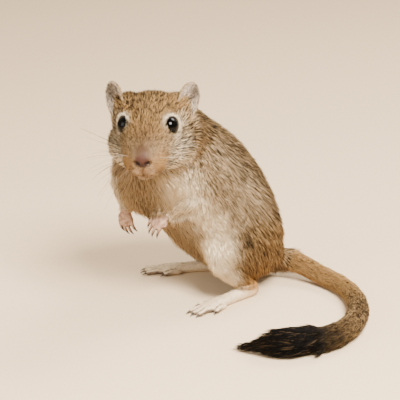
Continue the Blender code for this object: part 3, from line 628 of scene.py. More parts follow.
# The way the coat lies, its length in millimetres and its lift in degrees, by kind of node
coatPlan = {
    "torso": {"lie": (-0.5, 0, -0.86), "length": 4.4, "lift": 21},
    "neck": {"lie": (-0.55, -0.35, -0.75), "length": 3.6, "lift": 18},
    "head": {"length": 2.8, "lift": 22},
    "ear": {"length": 1.1, "lift": 18},
    "upper": {"lie": (0.1, 0.1, -1), "length": 3.8, "lift": 18},
    "forearm": {"left": (6.5, -3.8, -5.0), "right": (0.6, 3.4, -8.0), "length": 2.4, "lift": 18},
    "forepaw": {"length": 0.75, "lift": 10},
    "thigh": {"lie": (-0.25, 0, -0.95), "length": 4.6, "lift": 20},
    "shank": {"lie": (-0.6, 0, -0.8), "length": 3.0, "lift": 18},
    "hindfoot": {"lie": (0.95, 0.2, -0.15), "length": 1.2, "lift": 10},
    "tail": {"length": 2.3, "lift": 15},
    "blend": 26,
}
backFacing = unit((-0.86, 0.0, 0.52))
chunk = 20000


def nearestOn(line, points):
    found = np.empty(len(points), np.int64)
    for start in range(0, len(points), chunk):
        part = points[start : start + chunk]
        found[start : start + chunk] = np.linalg.norm(part[:, None] - line[None], axis=2).argmin(1)
    return found


def setFloat(mesh, name, values):
    made = mesh.attributes.new(name, "FLOAT", "POINT")
    made.data.foreach_set("value", np.asarray(values, np.float32))


earPlan = {"along": (-0.46, 0.22, 0.86), "front": (0.8, 0.6, 0.0), "root": (-23.8, 10.0, 4.8)}


def dressed(skin):
    # Writes on the skin what its coat needs: lie, length, lift, density, and the markings.
    mesh = skin.data
    co = coordinates(mesh)
    animal = toAnimal(co)
    inHead = toHead(animal)
    labels = nodeIndexOf(co)
    names = np.array(fleshNames)[labels]
    kinds = np.array([nodeKind(n) for n in names])
    near = neighbours(mesh)
    normals = toAnimal(normalsOf(mesh) * plan["mm"]) - toAnimal(np.zeros((1, 3)))
    side, mirrored = mirroredIn(inHead), mirroredIn(animal)
    onTorso, onHead, onTail, onPaw, onFoot = (
        kinds == kind for kind in ("torso", "head", "tail", "forepaw", "hindfoot")
    )
    onHands = onPaw | onFoot
    onHind = np.isin(kinds, ("thigh", "shank"))

    # The way that the coat lies
    lie = np.array([coatPlan[k].get("lie", (0, 0, 0)) for k in kinds], float)
    lie[onTorso, 1] = 0.12 * (animal[onTorso, 1] / 12)
    headLie = np.stack([np.full(len(co), -1.0), 0.45 * np.tanh(inHead[:, 1] / 5), 0.16 * np.tanh(inHead[:, 2] / 5)], 1)
    headLie[:, 2] -= 0.5 * smoothStep(4, 14, side[:, 1]) * smoothStep(2, -6, inHead[:, 2])
    headLie[:, 2] += 0.45 * smoothStep(-2, -12, inHead[:, 0]) * smoothStep(1, 5, inHead[:, 2])
    lie[onHead] = (headLie @ headBasis)[onHead]
    for word, sign in sides:
        lie[names == f"ear_{word}"] = (np.array(earPlan["along"]) * (1, sign, 1)) @ headBasis
        lie[names == f"forepaw_{word}"] = unit(np.array(handPlan[word]["aim"]) * (1, sign, 1))
        lie[names == f"forearm_{word}"] = unit(coatPlan["forearm"][word])
    lie[onFoot, 1] *= np.sign(animal[onFoot, 1])
    where = nearestOn(tailRead, animal[onTail])
    tailShare = where / (len(tailRead) - 1)
    lie[onTail] = tailAlong[where]
    lie = evened(unit(lie), near, coatPlan["blend"])
    lie = unit(lie - normals * (lie * normals).sum(1, keepdims=True))

    # Its length and lift
    length = np.array([coatPlan[k]["length"] for k in kinds], float)
    headLength = 0.9 + 1.9 * smoothStep(2, 15, -inHead[:, 0]) + marked("longCheek", side)
    headLength *= 1 - marked("shortEye", side)
    length[onHead] = headLength[onHead]
    length = evened(length, near, coatPlan["blend"])
    length[onTail] += 4.6 * smoothStep(0.60, 0.84, tailShare) + 0.9 * smoothStep(0.30, 0.55, tailShare)
    lift = evened(np.array([coatPlan[k]["lift"] for k in kinds], float), near, coatPlan["blend"])
    lift[onTail] -= 5.0 * smoothStep(0.5, 0.66, tailShare)
    downward = np.maximum(-lie[:, 2] * np.cos(np.radians(lift)) - normals[:, 2] * np.sin(np.radians(lift)), 0.15)
    length = np.minimum(length, np.maximum(animal[:, 2], 0.5) / downward + 0.6)

    # Face and ears
    lid = 1 - smoothStep(3.3, 3.5, np.linalg.norm(side - np.array(facePlan["eye"]), axis=1))
    nose, nostril = marked("nose", side), marked("nostril", side)
    mouth = 1 - smoothStep(0.35, 0.9, mouthAway)
    inner, earDark = np.zeros(len(co)), np.zeros(len(co))
    for word, sign in sides:
        one = names == f"ear_{word}"
        along, front, root = (np.array(earPlan[key]) * (1, sign, 1) for key in ("along", "front", "root"))
        opening = unit(np.cross(np.cross(along, front), along))
        inner[one] = ((normals[one] @ headBasis.T) @ opening > 0.15).astype(float)
        spot = np.stack([(inHead - root) @ unit(along), (inHead - root) @ unit(np.cross(opening, along)) * -sign], 1)
        earDark[one] = (blob(spot, (7.0, 1.9), (2.6, 1.5), 0.6) * inner)[one]
        earDark[one] = np.maximum(earDark[one], (blob(spot, (0.5, 0), (2.0, 2.6), 0.5) * 0.7)[one])
    inner = evened(inner, near, 3)

    # Colours of the body
    facing = smoothStep(0.35, 0.95, normals @ backFacing)
    dorsal = evened(facing * np.isin(kinds, ("torso", "neck")), near, 12)
    front = smoothStep(-0.1, 0.75, normals @ unit((0.88, 0.1, -0.46)))
    ventral = evened(front * np.isin(kinds, ("torso", "upper", "thigh", "shank", "neck")), near, 16)
    # Surfaces facing forward and down on the trunk, neck and limbs turn tan: partly their own tan fur, partly painted
    # shade under the body.
    tan = 0.8 * ventral
    beside = smoothStep(0.25, 0.85, np.abs(normals[:, 1])) * (1 - dorsal) * onTorso
    beside *= smoothStep(18, 34, animal[:, 2] + animal[:, 0] * 0.5)
    pale = (
        0.10 * ventral,
        marked("creamBody", mirrored) * ~onHead,
        0.85 * (kinds == "forearm"),
        0.6 * onFoot * smoothStep(1.0, 7.0, animal[:, 0] + 3.0 - animal[:, 2]),
        0.40 * evened(beside, near, 20),
        0.95 * smoothStep(1.5, 0.6, rimAway(side)) * onHead,
        marked("creamHead", side) * np.isin(kinds, ("head", "neck")),
    )
    cream = evened(np.max(pale, axis=0), near, 5)
    orange = np.maximum(marked("orangeHead", side) * onHead, marked("orangeBody", mirrored))
    orange = evened(orange, near, 20)
    rump = smoothStep(34, 20, animal[:, 2]) * smoothStep(14, 2, animal[:, 0])
    golden = (
        marked("gold", side) * onHead,
        1.0 * onTail,
        0.5 * rump * (onTorso | onHind),
        0.5 * onHind * smoothStep(14, 4, animal[:, 0]),
    )
    gold = evened(np.max(golden, axis=0), near, 10)
    bridge = marked("bridge", side) * onHead

    # Painted shade in the creases of the hands and feet where the skin is hollow, and on the sides and undersides of
    # the digits, standing also for the darker skin there
    starts, ends, degree = near
    around = [np.bincount(starts, co[ends, k], len(co)) + np.bincount(ends, co[starts, k], len(co)) for k in range(3)]
    hollow = ((np.stack(around, 1) / degree[:, None] - co) * normalsOf(mesh)).sum(1) / plan["mm"]
    crease = smoothStep(0.002, 0.022, evened(hollow, near, 1)) * onHands
    for word, sign in sides:
        paw, foot = names == f"forepaw_{word}", names == f"hindfoot_{word}"
        wrist, aim, back = (np.array(handPlan[word][key]) * (1, sign, 1) for key in ("wrist", "aim", "back"))
        shadedBeneath = 0.75 * smoothStep(0.8, 0.3, normals @ unit(back))
        crease[paw] = np.maximum(crease, shadedBeneath * smoothStep(3.2, 4.4, (animal - wrist) @ unit(aim)))[paw]
        reach = np.linalg.norm(animal[:, :2] - np.array(footPlan[word]) * (1, sign), axis=1)
        shadedBeneath = smoothStep(0.8, 0.3, normals[:, 2]) * smoothStep(17.0, 20.0, reach)
        crease[foot] = np.maximum(crease, 0.85 * shadedBeneath)[foot]

    # Dark tips, and the tail's own
    ticks = 0.52 + 0.3 * dorsal - 0.44 * np.clip(cream, 0, 1) - 0.3 * tan - 0.35 * (bridge + orange) + 0.14 * gold
    ticks += marked("ticksCheek", side) * onHead
    ticks += marked("ticksCrown", side) * onHead
    outer = np.maximum(normals[:, 2], normals @ unit((-0.5, 0.8, 0.2)))[onTail]
    shaded = smoothStep(0.30, 0.56, tailShare) * smoothStep(-0.2, 0.5, outer)
    ticks[onTail] = 0.16 + 0.84 * shaded
    dorsal[onTail] = 1.3 * shaded
    brush = np.zeros(len(co))
    brush[onTail] = smoothStep(0.60, 0.74, tailShare)

    # Where nothing grows, or little
    sole = smoothStep(1.0, 0.4, animal[:, 2]) * onFoot
    density = (1 - lid) * (1 - nose) * (1 - 0.7 * mouth) * (1 - sole)
    density[animal[:, 2] < 0.12] = 0
    density[(normals[:, 2] < -0.75) & (animal[:, 2] < 1.5)] = 0
    density *= 1 - 0.9 * crease
    density *= 1 - 0.75 * onPaw - 0.45 * onFoot
    markings = {
        "cream": cream, "orange": orange, "gold": gold, "dorsal": dorsal, "brush": brush, "nose": nose,
        "nostril": nostril, "lid": lid, "mouth": mouth, "inner": inner, "earDark": earDark, "bridge": bridge,
        "tan": tan * (1 - cream), "lip": marked("lip", side) * onHead, "crease": crease, "ticks": ticks,
        "bare": 0.85 * onPaw + 0.12 * onFoot, "furred": evened(1.0 - onHands, near, 8), "density": density,
    }
    for name, values in markings.items():
        setFloat(mesh, name, np.clip(values, 0, 1))
    setFloat(mesh, "length", length * plan["mm"])
    setFloat(mesh, "lift", np.radians(lift))
    lies = mesh.attributes.new("lie", "FLOAT_VECTOR", "POINT")
    lies.data.foreach_set("vector", np.ascontiguousarray(turned(lie), np.float32).ravel())
    return animal, inHead, kinds, normals, density


animal, inHead, kinds, normals, density = dressed(skin)
print("markings written")


def built(tree, kind, fed=(), **settings):
    # A node with its settings made and its sockets fed, by numbers or by links. It gives the node's outputs.
    made = tree.nodes.new(kind)
    for key, value in settings.items():
        setattr(made, key, value)
    for key, value in dict(fed).items():
        if isinstance(value, bpy.types.NodeSocket):
            tree.links.new(value, made.inputs[key])
        else:
            made.inputs[key].default_value = value
    return made.outputs


class Shade:
    # A short way to write a shader's node tree.
    def __init__(self, name, look):
        self.material = plainMaterial(name, (0.8, 0.8, 0.8), look["roughness"], look["specular"])
        self.tree = self.material.node_tree
        self.inputs = self.tree.nodes["Principled BSDF"].inputs

    def mark(self, name):
        return built(self.tree, "ShaderNodeAttribute", attribute_name=name)["Fac"]

    def sum(self, operation, one, other):
        return built(self.tree, "ShaderNodeMath", {0: one, 1: other}, operation=operation, use_clamp=True)[0]

    def ramp(self, value, low, high, toLow=0.0, toHigh=1.0):
        fed = {"Value": value, "From Min": low, "From Max": high, "To Min": toLow, "To Max": toHigh}
        return built(self.tree, "ShaderNodeMapRange", fed, interpolation_type="SMOOTHSTEP")["Result"]

    def mix(self, share, one, other):
        one, other = ((*colour, 1) if isinstance(colour, tuple) else colour for colour in (one, other))
        return built(self.tree, "ShaderNodeMix", {0: share, 6: one, 7: other}, data_type="RGBA")[2]

    def scaled(self, colour, share):
        return built(self.tree, "ShaderNodeVectorMath", {0: colour, "Scale": share}, operation="SCALE")[0]

    def noise(self, scale, detail):
        place = built(self.tree, "ShaderNodeTexCoord")["Object"]
        return built(self.tree, "ShaderNodeTexNoise", {"Scale": scale, "Detail": detail, "Vector": place})["Fac"]

    def bump(self, height, distance, strength):
        fed = {"Height": height, "Distance": distance, "Strength": strength}
        self.tree.links.new(built(self.tree, "ShaderNodeBump", fed)["Normal"], self.inputs["Normal"])

    def finish(self, colour):
        self.tree.links.new(colour, self.inputs["Base Color"])
        return self.material


def plainMaterial(name, colour, roughness, specular=0.5):
    made = bpy.data.materials.new(name)
    made.use_nodes = True
    inputs = made.node_tree.nodes["Principled BSDF"].inputs
    inputs["Base Color"].default_value = (*colour, 1)
    inputs["Roughness"].default_value = roughness
    inputs["Specular IOR Level"].default_value = specular
    return made


def dressIn(piece, material):
    piece.data.materials.clear()
    piece.data.materials.append(material)


def finished(name, points, faces, material):
    made = meshObject(name, points, faces)
    made.data.shade_smooth()
    dressIn(made, material)
    return made


# Colours of the coat, the same on the skin and on the tufts; the crease colour is painted shade, and the tan one
# partly so
coatColours = {
    "sandy": (0.45, 0.305, 0.16),
    "gold": (0.38, 0.22, 0.082),
    "cream": (0.95, 0.80, 0.57),
    # tan fur of the underside, darkened also as painted shade
    "tan": (0.27, 0.17, 0.085),
    "orange": (0.50, 0.26, 0.08),
    "ridge": (0.21, 0.135, 0.065),
    "tip": (0.012, 0.008, 0.005),
    "brush": (0.0035, 0.0027, 0.0022),
    "fringe": (0.10, 0.065, 0.035),
    "under": (0.16, 0.11, 0.07),
    "bridge": (0.09, 0.038, 0.02),
    "lip": (0.46, 0.26, 0.15),
    # painted shade for the creases of the hands and feet
    "crease": (0.03, 0.013, 0.011),
    "bare": (0.42, 0.28, 0.215),
    "bareDark": (0.20, 0.10, 0.075),
    "nose": (0.042, 0.014, 0.008),
    "nostril": (0.008, 0.002, 0.0015),
    "lid": (0.003, 0.002, 0.002),
    "mouth": (0.10, 0.035, 0.025),
    "earHair": (0.62, 0.50, 0.38),
    "earDark": (0.27, 0.205, 0.15),
}


# Marks in the order in which they cover each other, each with its colour and share
markOrder = [
    ("gold", "gold", 1), ("dorsal", "ridge", 0.7), ("orange", "orange", 1), ("tan", "tan", 1), ("cream", "cream", 1),
    ("bridge", "bridge", 0.9), ("lip", "lip", 0.7), ("inner", "earHair", 1), ("earDark", "earDark", 1),
]
skinLook = {"roughness": 0.62, "specular": 0.25, "underFur": 0.55, "speckle": 1400, "blotch": 900, "grain": 2600}
tuftLook = {"roughness": 0.7, "specular": 0.12, "rootShade": 0.42, "uneven": 0.82, "tipDark": 0.92, "fringe": 0.06}


def markedColour(shade):
    # The coat's colour before ticks and shading, from the marks on the skin, with the painted shade of the underside
    # among them.
    colour = coatColours["sandy"]
    for mark, tone, share in markOrder:
        colour = shade.mix(shade.sum("MULTIPLY", shade.mark(mark), share), colour, coatColours[tone])
    return colour


def skinMaterial():
    shade = Shade("skinFinish", skinLook)
    # Where fur grows the skin is darkened, for the coat's dark under-hair and as painted shade within the fur.
    colour = shade.scaled(markedColour(shade), shade.ramp(shade.mark("furred"), 0, 1, 1.0, skinLook["underFur"]))
    speckle = shade.ramp(shade.noise(skinLook["speckle"], 3), 0.5, 0.62)
    ticks = shade.sum("MULTIPLY", speckle, shade.mark("ticks"))
    colour = shade.mix(shade.sum("MULTIPLY", ticks, 0.7), colour, coatColours["ridge"])
    colour = shade.mix(shade.mark("brush"), colour, coatColours["brush"])
    blotch = shade.ramp(shade.noise(skinLook["blotch"], 3), 0.35, 0.7)
    colour = shade.mix(shade.mark("bare"), colour, shade.mix(blotch, coatColours["bare"], coatColours["bareDark"]))
    # Among these, the mark of the creases of hands and feet is painted shade.
    for mark in ("nose", "mouth", "nostril", "crease", "lid"):
        colour = shade.mix(shade.mark(mark), colour, coatColours[mark])
    shade.bump(shade.noise(skinLook["grain"], 4), 0.00015, 0.4)
    return shade.finish(colour)


def tuftMaterial():
    shade = Shade("coatFinish", tuftLook)
    along, strand, group = (shade.mark(name) for name in ("along", "strand", "group"))
    uneven = tuftLook["uneven"]
    root = shade.ramp(along, 0.0, 0.4, tuftLook["rootShade"], 0.0)
    colour = shade.mix(root, markedColour(shade), coatColours["under"])
    tone = shade.sum("MULTIPLY", shade.ramp(strand, 0, 1, uneven, 1.0), shade.ramp(group, 0.35, 0.65, 1.0, uneven))
    colour = shade.scaled(colour, tone)
    often = shade.sum("MULTIPLY", shade.mark("ticks"), shade.ramp(group, 0.44, 0.60, 0.05, 1.9))
    ticked = shade.sum("MULTIPLY", shade.sum("LESS_THAN", strand, often), shade.ramp(along, 0.22, 0.45))
    colour = shade.mix(shade.sum("MULTIPLY", ticked, tuftLook["tipDark"]), colour, coatColours["tip"])
    fringed = shade.sum("LESS_THAN", strand, tuftLook["fringe"])
    dark = shade.mix(fringed, coatColours["brush"], coatColours["fringe"])
    return shade.finish(shade.mix(shade.mark("brush"), colour, dark))


tuftFinish = tuftMaterial()
dressIn(skin, skinMaterial())
skin.data.shade_smooth()

# The skin's own unwrap
bpy.context.view_layer.objects.active = skin
skin.select_set(True)
bpy.ops.object.mode_set(mode="EDIT")
bpy.ops.mesh.select_all(action="SELECT")
bpy.ops.uv.smart_project(angle_limit=math.radians(66), island_margin=0.001)
bpy.ops.object.mode_set(mode="OBJECT")
skin.data.uv_layers[0].name = "OFBake"
print("skin unwrapped")

# The coat: tufts in several pieces, by where they grow
coatPieces = {
    name: {"strands": strands, "aspect": aspect, "clump": clump, "spread": spread, "slot": slotName}
    for name, strands, aspect, clump, spread, slotName in (
        ("crown", 20000, 0.075, 0.35, 0.30, "head_coat"),
        ("cheeks", 20000, 0.07, 0.35, 0.25, "head_coat"),
        ("ears", 6000, 0.09, 0.3, 0.3, "ear_skin"),
        ("neck", 10000, 0.046, 0.3, 0.2, "body_coat"),
        ("back", 18000, 0.036, 0.32, 0.22, "body_coat"),
        ("flankLeft", 19000, 0.036, 0.32, 0.2, "body_coat"),
        ("flankRight", 12000, 0.038, 0.32, 0.2, "body_coat"),
        ("front", 13000, 0.036, 0.32, 0.2, "body_coat"),
        ("arms", 9000, 0.05, 0.4, 0.2, "body_coat"),
        ("hindLeft", 12000, 0.042, 0.32, 0.2, "body_coat"),
        ("hindRight", 8000, 0.046, 0.32, 0.2, "body_coat"),
        ("tailCoat", 10000, 0.07, 0.35, 0.22, "tail_coat"),
        ("brush", 9500, 0.034, 0.3, 0.16, "tail_coat"),
    )
}
strandPlan = {
    "patch": 0.003,
    "groups": 3200.0,
    "waves": 420.0,
    "waviness": 3.0,
    "lift": (0.6, 1.35),
    "length": (0.65, 1.2),
    "rings": ((0.0, 0.0, 1.0), (0.5, 0.055, 0.85)),
    "firstSeed": 11,
    "brushFrom": 0.6,
    "backTo": 0.35,
}
pieceNames = list(coatPieces)


def growsIn():
    # Which coat piece each point of the skin belongs to, a later line going over an earlier one.
    trunk, onHead, onTail = (kinds == kind for kind in ("torso", "head", "tail"))
    hind = np.isin(kinds, ("thigh", "shank", "hindfoot"))
    onBack = normals @ backFacing > strandPlan["backTo"]
    flank = trunk & (np.abs(normals[:, 1]) > 0.5) & ~onBack
    brushed = onTail.copy()
    brushed[onTail] = nearestOn(tailRead, animal[onTail]) > strandPlan["brushFrom"] * (len(tailRead) - 1)
    places = {
        "front": np.full(len(kinds), True),
        "back": trunk & onBack,
        "flankLeft": flank & (normals[:, 1] > 0),
        "flankRight": flank & (normals[:, 1] < 0),
        "neck": kinds == "neck",
        "cheeks": onHead,
        "crown": onHead & (inHead[:, 2] > 2.0),
        "ears": kinds == "ear",
        "arms": np.isin(kinds, ("upper", "forearm", "forepaw")),
        "hindLeft": hind & (animal[:, 1] > 0),
        "hindRight": hind & (animal[:, 1] <= 0),
        "tailCoat": onTail,
        "brush": brushed,
    }
    region = np.zeros(len(kinds), np.int32)
    for name, inside in places.items():
        region[inside] = pieceNames.index(name)
    return region


region = growsIn()
skin.data.attributes.new("region", "INT", "POINT").data.foreach_set("value", region)


def strandTemplate(name, aspect):
    # One hair-like tuft of nine triangles along X, arched over the body, one long.
    width = aspect / 2
    points = []
    for along, rise, share in strandPlan["rings"]:
        for a in map(math.radians, (90, 210, 330)):
            points.append((along, math.cos(a) * width * share, rise + math.sin(a) * width * share))
    points.append((1.0, 0.0, 0.0))
    faces = [(k, (k + 1) % 3, 3 + (k + 1) % 3, 3 + k) for k in range(3)]
    faces += [(3 + k, 3 + (k + 1) % 3, 6) for k in range(3)]
    made = meshObject(name, np.array(points), faces, inWorld=True)
    mesh = made.data
    setFloat(mesh, "along", [0, 0, 0, 0.5, 0.5, 0.5, 1])
    setFloat(mesh, "across", [0, 0.5, 1, 0, 0.5, 1, 0.5])
    mesh.shade_smooth()
    return made


def coatTree():
    tree = bpy.data.node_groups.new("coatOfTufts", "GeometryNodeTree")
    wanted = (
        ("Skin", "NodeSocketGeometry"), ("Strand", "NodeSocketObject"), ("Region", "NodeSocketInt"),
        ("Density", "NodeSocketFloat"), ("Clump", "NodeSocketFloat"), ("Spread", "NodeSocketFloat"),
        ("Seed", "NodeSocketInt"), ("Patch", "NodeSocketFloat"), ("Material", "NodeSocketMaterial"),
    )
    for name, kind in wanted:
        tree.interface.new_socket(name, in_out="INPUT", socket_type=kind)
    tree.interface.new_socket("Coat", in_out="OUTPUT", socket_type="NodeSocketGeometry")
    given = built(tree, "NodeGroupInput")

    def named(name, kind="FLOAT"):
        return built(tree, "GeometryNodeInputNamedAttribute", {"Name": name}, data_type=kind)["Attribute"]

    def maths(operation, one, other=0.0):
        return built(tree, "ShaderNodeMath", {0: one, 1: other}, operation=operation)[0]

    def vectors(operation, one, other=(0, 0, 0)):
        fed = {0: one, "Scale" if operation == "SCALE" else 1: other}
        made = built(tree, "ShaderNodeVectorMath", fed, operation=operation)
        return made["Value" if operation == "DOT_PRODUCT" else "Vector"]

    def noise(scale):
        place = built(tree, "GeometryNodeInputPosition")[0]
        return built(tree, "ShaderNodeTexNoise", {"Scale": scale, "Detail": 1.0, "Vector": place})

    def chance(low, high, further, kind="FLOAT"):
        fed = {"Min": low, "Max": high, "Seed": maths("ADD", given["Seed"], further)}
        return built(tree, "FunctionNodeRandomValue", fed, data_type=kind)["Value"]

    def store(geometry, name, value, kind="FLOAT", domain="POINT"):
        fed = {"Geometry": geometry, "Name": name, "Value": value}
        return built(tree, "GeometryNodeStoreNamedAttribute", fed, data_type=kind, domain=domain)["Geometry"]

    def dropped(geometry, name):
        return built(tree, "GeometryNodeRemoveAttribute", {"Geometry": geometry, "Name": name})["Geometry"]

    # Roots scattered over the skin, each with its own chance, its group's and its place on the unwrap
    fed = {"A": named("region", "INT"), "B": given["Region"]}
    chosen = built(tree, "FunctionNodeCompare", fed, data_type="INT", operation="EQUAL")["Result"]
    often = maths("MULTIPLY", named("density"), given["Density"])
    fed = {"Mesh": given["Skin"], "Selection": chosen, "Density": often, "Seed": given["Seed"]}
    scatter = built(tree, "GeometryNodeDistributePointsOnFaces", fed, distribute_method="RANDOM")
    normal = scatter["Normal"]
    points = store(scatter["Points"], "strand", chance(0.0, 1.0, 0.0))
    points = store(points, "group", noise(strandPlan["groups"])["Fac"])
    points = store(points, "root", named("OFBake", "FLOAT_VECTOR"), "FLOAT_VECTOR")
    points = dropped(points, "OFBake")

    # The way each strand lies, in waves and with its own stray, and its lift off the skin
    wave = vectors("SUBTRACT", noise(strandPlan["waves"])["Color"], (0.5, 0.5, 0.5))
    clump = vectors("SCALE", vectors("SCALE", wave, given["Clump"]), strandPlan["waviness"])
    stray = vectors("SCALE", chance((-1, -1, -1), (1, 1, 1), 7.0, "FLOAT_VECTOR"), given["Spread"])
    heading = vectors("ADD", vectors("ADD", named("lie", "FLOAT_VECTOR"), clump), stray)
    flat = vectors("SCALE", normal, vectors("DOT_PRODUCT", heading, normal))
    flat = vectors("NORMALIZE", vectors("SUBTRACT", heading, flat))
    angle = maths("MULTIPLY", named("lift"), chance(*strandPlan["lift"], 3.0))
    risen = vectors("SCALE", normal, maths("SINE", angle))
    heading = vectors("ADD", vectors("SCALE", flat, maths("COSINE", angle)), risen)
    turn = built(tree, "FunctionNodeAlignRotationToVector", {"Vector": heading}, axis="X")["Rotation"]
    fed = {"Rotation": turn, "Vector": normal}
    turn = built(tree, "FunctionNodeAlignRotationToVector", fed, axis="Z", pivot_axis="X")["Rotation"]

    # Strands on the roots, made real
    strand = built(tree, "GeometryNodeObjectInfo", {"Object": given["Strand"]})["Geometry"]
    size = maths("MULTIPLY", named("length"), chance(*strandPlan["length"], 5.0))
    fed = {"Points": points, "Instance": strand, "Rotation": turn, "Scale": size}
    grown = built(tree, "GeometryNodeInstanceOnPoints", fed)["Instances"]
    solid = built(tree, "GeometryNodeRealizeInstances", {"Geometry": grown})["Geometry"]

    # Each strand's own small patch of the unwrap
    across = built(tree, "ShaderNodeCombineXYZ", {"X": named("along"), "Y": named("across")})[0]
    within = vectors("SCALE", vectors("SUBTRACT", across, (0.5, 0.5, 0.0)), given["Patch"])
    mapped = vectors("ADD", named("root", "FLOAT_VECTOR"), within)
    coat = store(solid, "OFBake", mapped, "FLOAT2", "CORNER")
    for name in ("root", "lie", "length", "lift", "density", "region", "across"):
        coat = dropped(coat, name)
    covered = built(tree, "GeometryNodeSetMaterial", {"Geometry": coat, "Material": given["Material"]})
    built(tree, "NodeGroupOutput", {"Coat": covered["Geometry"]})
    return tree


def areasOf(mesh):
    # The area of skin, weighed by density, that each coat piece covers.
    mesh.calc_loop_triangles()
    corners = np.empty(len(mesh.loop_triangles) * 3, np.int32)
    mesh.loop_triangles.foreach_get("vertices", corners)
    corners = corners.reshape(-1, 3)
    co = coordinates(mesh)
    a, b, c = (co[corners[:, k]] for k in range(3))
    area = np.linalg.norm(np.cross(b - a, c - a), axis=1) / 2
    weigh = area * density[corners].mean(1)
    return np.bincount(region[corners[:, 0]], weigh, minlength=len(pieceNames))


def keepAbove(mesh):
    # Tips that would pass below the floor are laid on it.
    co = coordinates(mesh)
    near = skinPlan["floorNear"] * plan["mm"]
    low = co[:, 2] < near
    co[low, 2] = near * np.exp(np.maximum((co[low, 2] - near) / near, -3.0))
    place(mesh, co)


covered = areasOf(skin.data)
growth = coatTree()
socketOf = {item.name: item.identifier for item in growth.interface.items_tree if item.in_out == "INPUT"}
coatShare = 1.0
coats = []
for index, (name, values) in enumerate(coatPieces.items()):
    template = strandTemplate("strand", values["aspect"])
    grower = skin.copy()
    grower.data = skin.data.copy()
    scene.collection.objects.link(grower)
    modifier = grower.modifiers.new("coat", "NODES")
    modifier.node_group = growth
    inputs = {
        "Strand": template, "Region": index, "Density": coatShare * values["strands"] / max(covered[index], 1e-9),
        "Clump": values["clump"], "Spread": values["spread"], "Material": tuftFinish,
        "Seed": strandPlan["firstSeed"] + index, "Patch": strandPlan["patch"],
    }
    for key, value in inputs.items():
        modifier[socketOf[key]] = value
    grower.name = f"coat-{name}"
    settle(grower)
    keepAbove(grower.data)
    bpy.data.objects.remove(template)
    coats.append(grower)
    print(grower.name, len(grower.data.polygons), "faces,", round(covered[index] * 1e6), "mm2")

# Eyes, each with a dark rim
eyePlan = {"radius": 3.0, "rimRing": 3.1, "rim": 0.36, "rimPoints": 48}
eyeFinish = plainMaterial("eyeFinish", (0.0006, 0.0005, 0.0005), 0.04, 0.12)
lidFinish = plainMaterial("lidFinish", (0.004, 0.003, 0.003), 0.45)


def hoop(ring, centre, radius, around=10):
    # A closed ring of round section along a loop of points.
    along = unit(np.roll(ring, -1, 0) - np.roll(ring, 1, 0))
    out = unit(ring - centre)
    across = np.cross(along, out)
    turn = 2 * np.pi * np.arange(around) / around
    points = ring[:, None] + radius * (out[:, None] * np.cos(turn)[:, None] + across[:, None] * np.sin(turn)[:, None])
    starts = np.arange(len(ring)) * around
    faces = [
        (here + i, there + i, there + (i + 1) % around, here + (i + 1) % around)
        for here, there in zip(starts.tolist(), np.roll(starts, -1).tolist())
        for i in range(around)
    ]
    return points.reshape(-1, 3), faces


for side, sign in sides:
    axis = eyeAxis(sign)
    level = unit(np.cross([0, 0, 1], axis))
    axes = np.stack([axis, level, np.cross(axis, level)])
    centre = np.array(facePlan["eye"]) * (1, sign, 1)
    points, faces = ball(centre, eyePlan["radius"], axes, 24, 36)
    eye = finished(f"eye-{side}", fromHead(points), faces, eyeFinish)
    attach(eye, "root")
    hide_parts(f"eye_{side}")
    opening = math.radians(facePlan["eyeOpening"])
    turn = np.linspace(0, 2 * math.pi, eyePlan["rimPoints"] + 1)[:-1, None]
    circle = np.cos(turn) * axes[1] + np.sin(turn) * axes[2]
    reach = eyePlan["rimRing"]
    ring = centre + axis * reach * math.cos(opening) + reach * math.sin(opening) * circle
    points, faces = hoop(ring, centre, eyePlan["rim"])
    lid = finished(f"lid-{side}", fromHead(points), faces, lidFinish)
    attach(lid, "root")

# Claws
clawPoints, clawFaces = gathered(clawForms)
clawPoints[:, 2] = np.maximum(clawPoints[:, 2], 0.02)
claws = finished("claws", clawPoints, clawFaces, plainMaterial("clawFinish", (0.012, 0.008, 0.007), 0.35))
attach(claws, "root")

# Whiskers: long bent hairs from the pads beside the nose
whiskerPlan = {
    "rows": 4,
    "columns": 5,
    "length": 19.0,
    "longerPerColumn": 0.1,
    "thick": 0.065,
    "seed": 5,
    "root": (-4.2, 3.2, -1.2),
    "rootPerColumn": (-1.5, 0.62, -0.12),
    "rootPerRow": (0, 0, -1.15),
    "bulge": 0.15,
    "aim": (0.25, 1.0, 0.32),
    "aimPerColumn": (-0.22, 0, 0),
    "aimPerRow": (0, 0, -0.30),
    "sag": (-0.30, 0, -0.22),
    "sagPerRow": (0, 0, -0.12),
    "unevenRoot": 0.25,
    "unevenAim": (0.1, 0, 0.12),
    "unevenLength": 0.16,
}
whiskerChance = np.random.default_rng(whiskerPlan["seed"])
whiskerSteps = np.linspace(0, 1, 7)[:, None]


def whisker(sign, row, column):
    w = {key: np.array(value) for key, value in whiskerPlan.items()}
    jitter = whiskerChance.uniform(-1, 1, 6)
    root = w["root"] + w["rootPerColumn"] * column + w["rootPerRow"] * row
    root[1] -= w["bulge"] * (row - 1.5) ** 2
    root = root * (1, sign, 1) + jitter[:3] * (1, 0, 1) * w["unevenRoot"]
    aim = w["aim"] + w["aimPerColumn"] * column + w["aimPerRow"] * row + w["unevenAim"] * (jitter[3], 0, jitter[4])
    length = w["length"] * (0.62 + w["longerPerColumn"] * column) * (1 + w["unevenLength"] * jitter[5])
    sag = (w["sag"] + w["sagPerRow"] * row) * length
    path = root + unit(aim * (1, sign, 1)) * length * whiskerSteps + sag * whiskerSteps**2
    return tube(fromHead(path), w["thick"] * np.linspace(1, 0.25, 7), headBasis[0] + headBasis[2] * 0.2, 4)


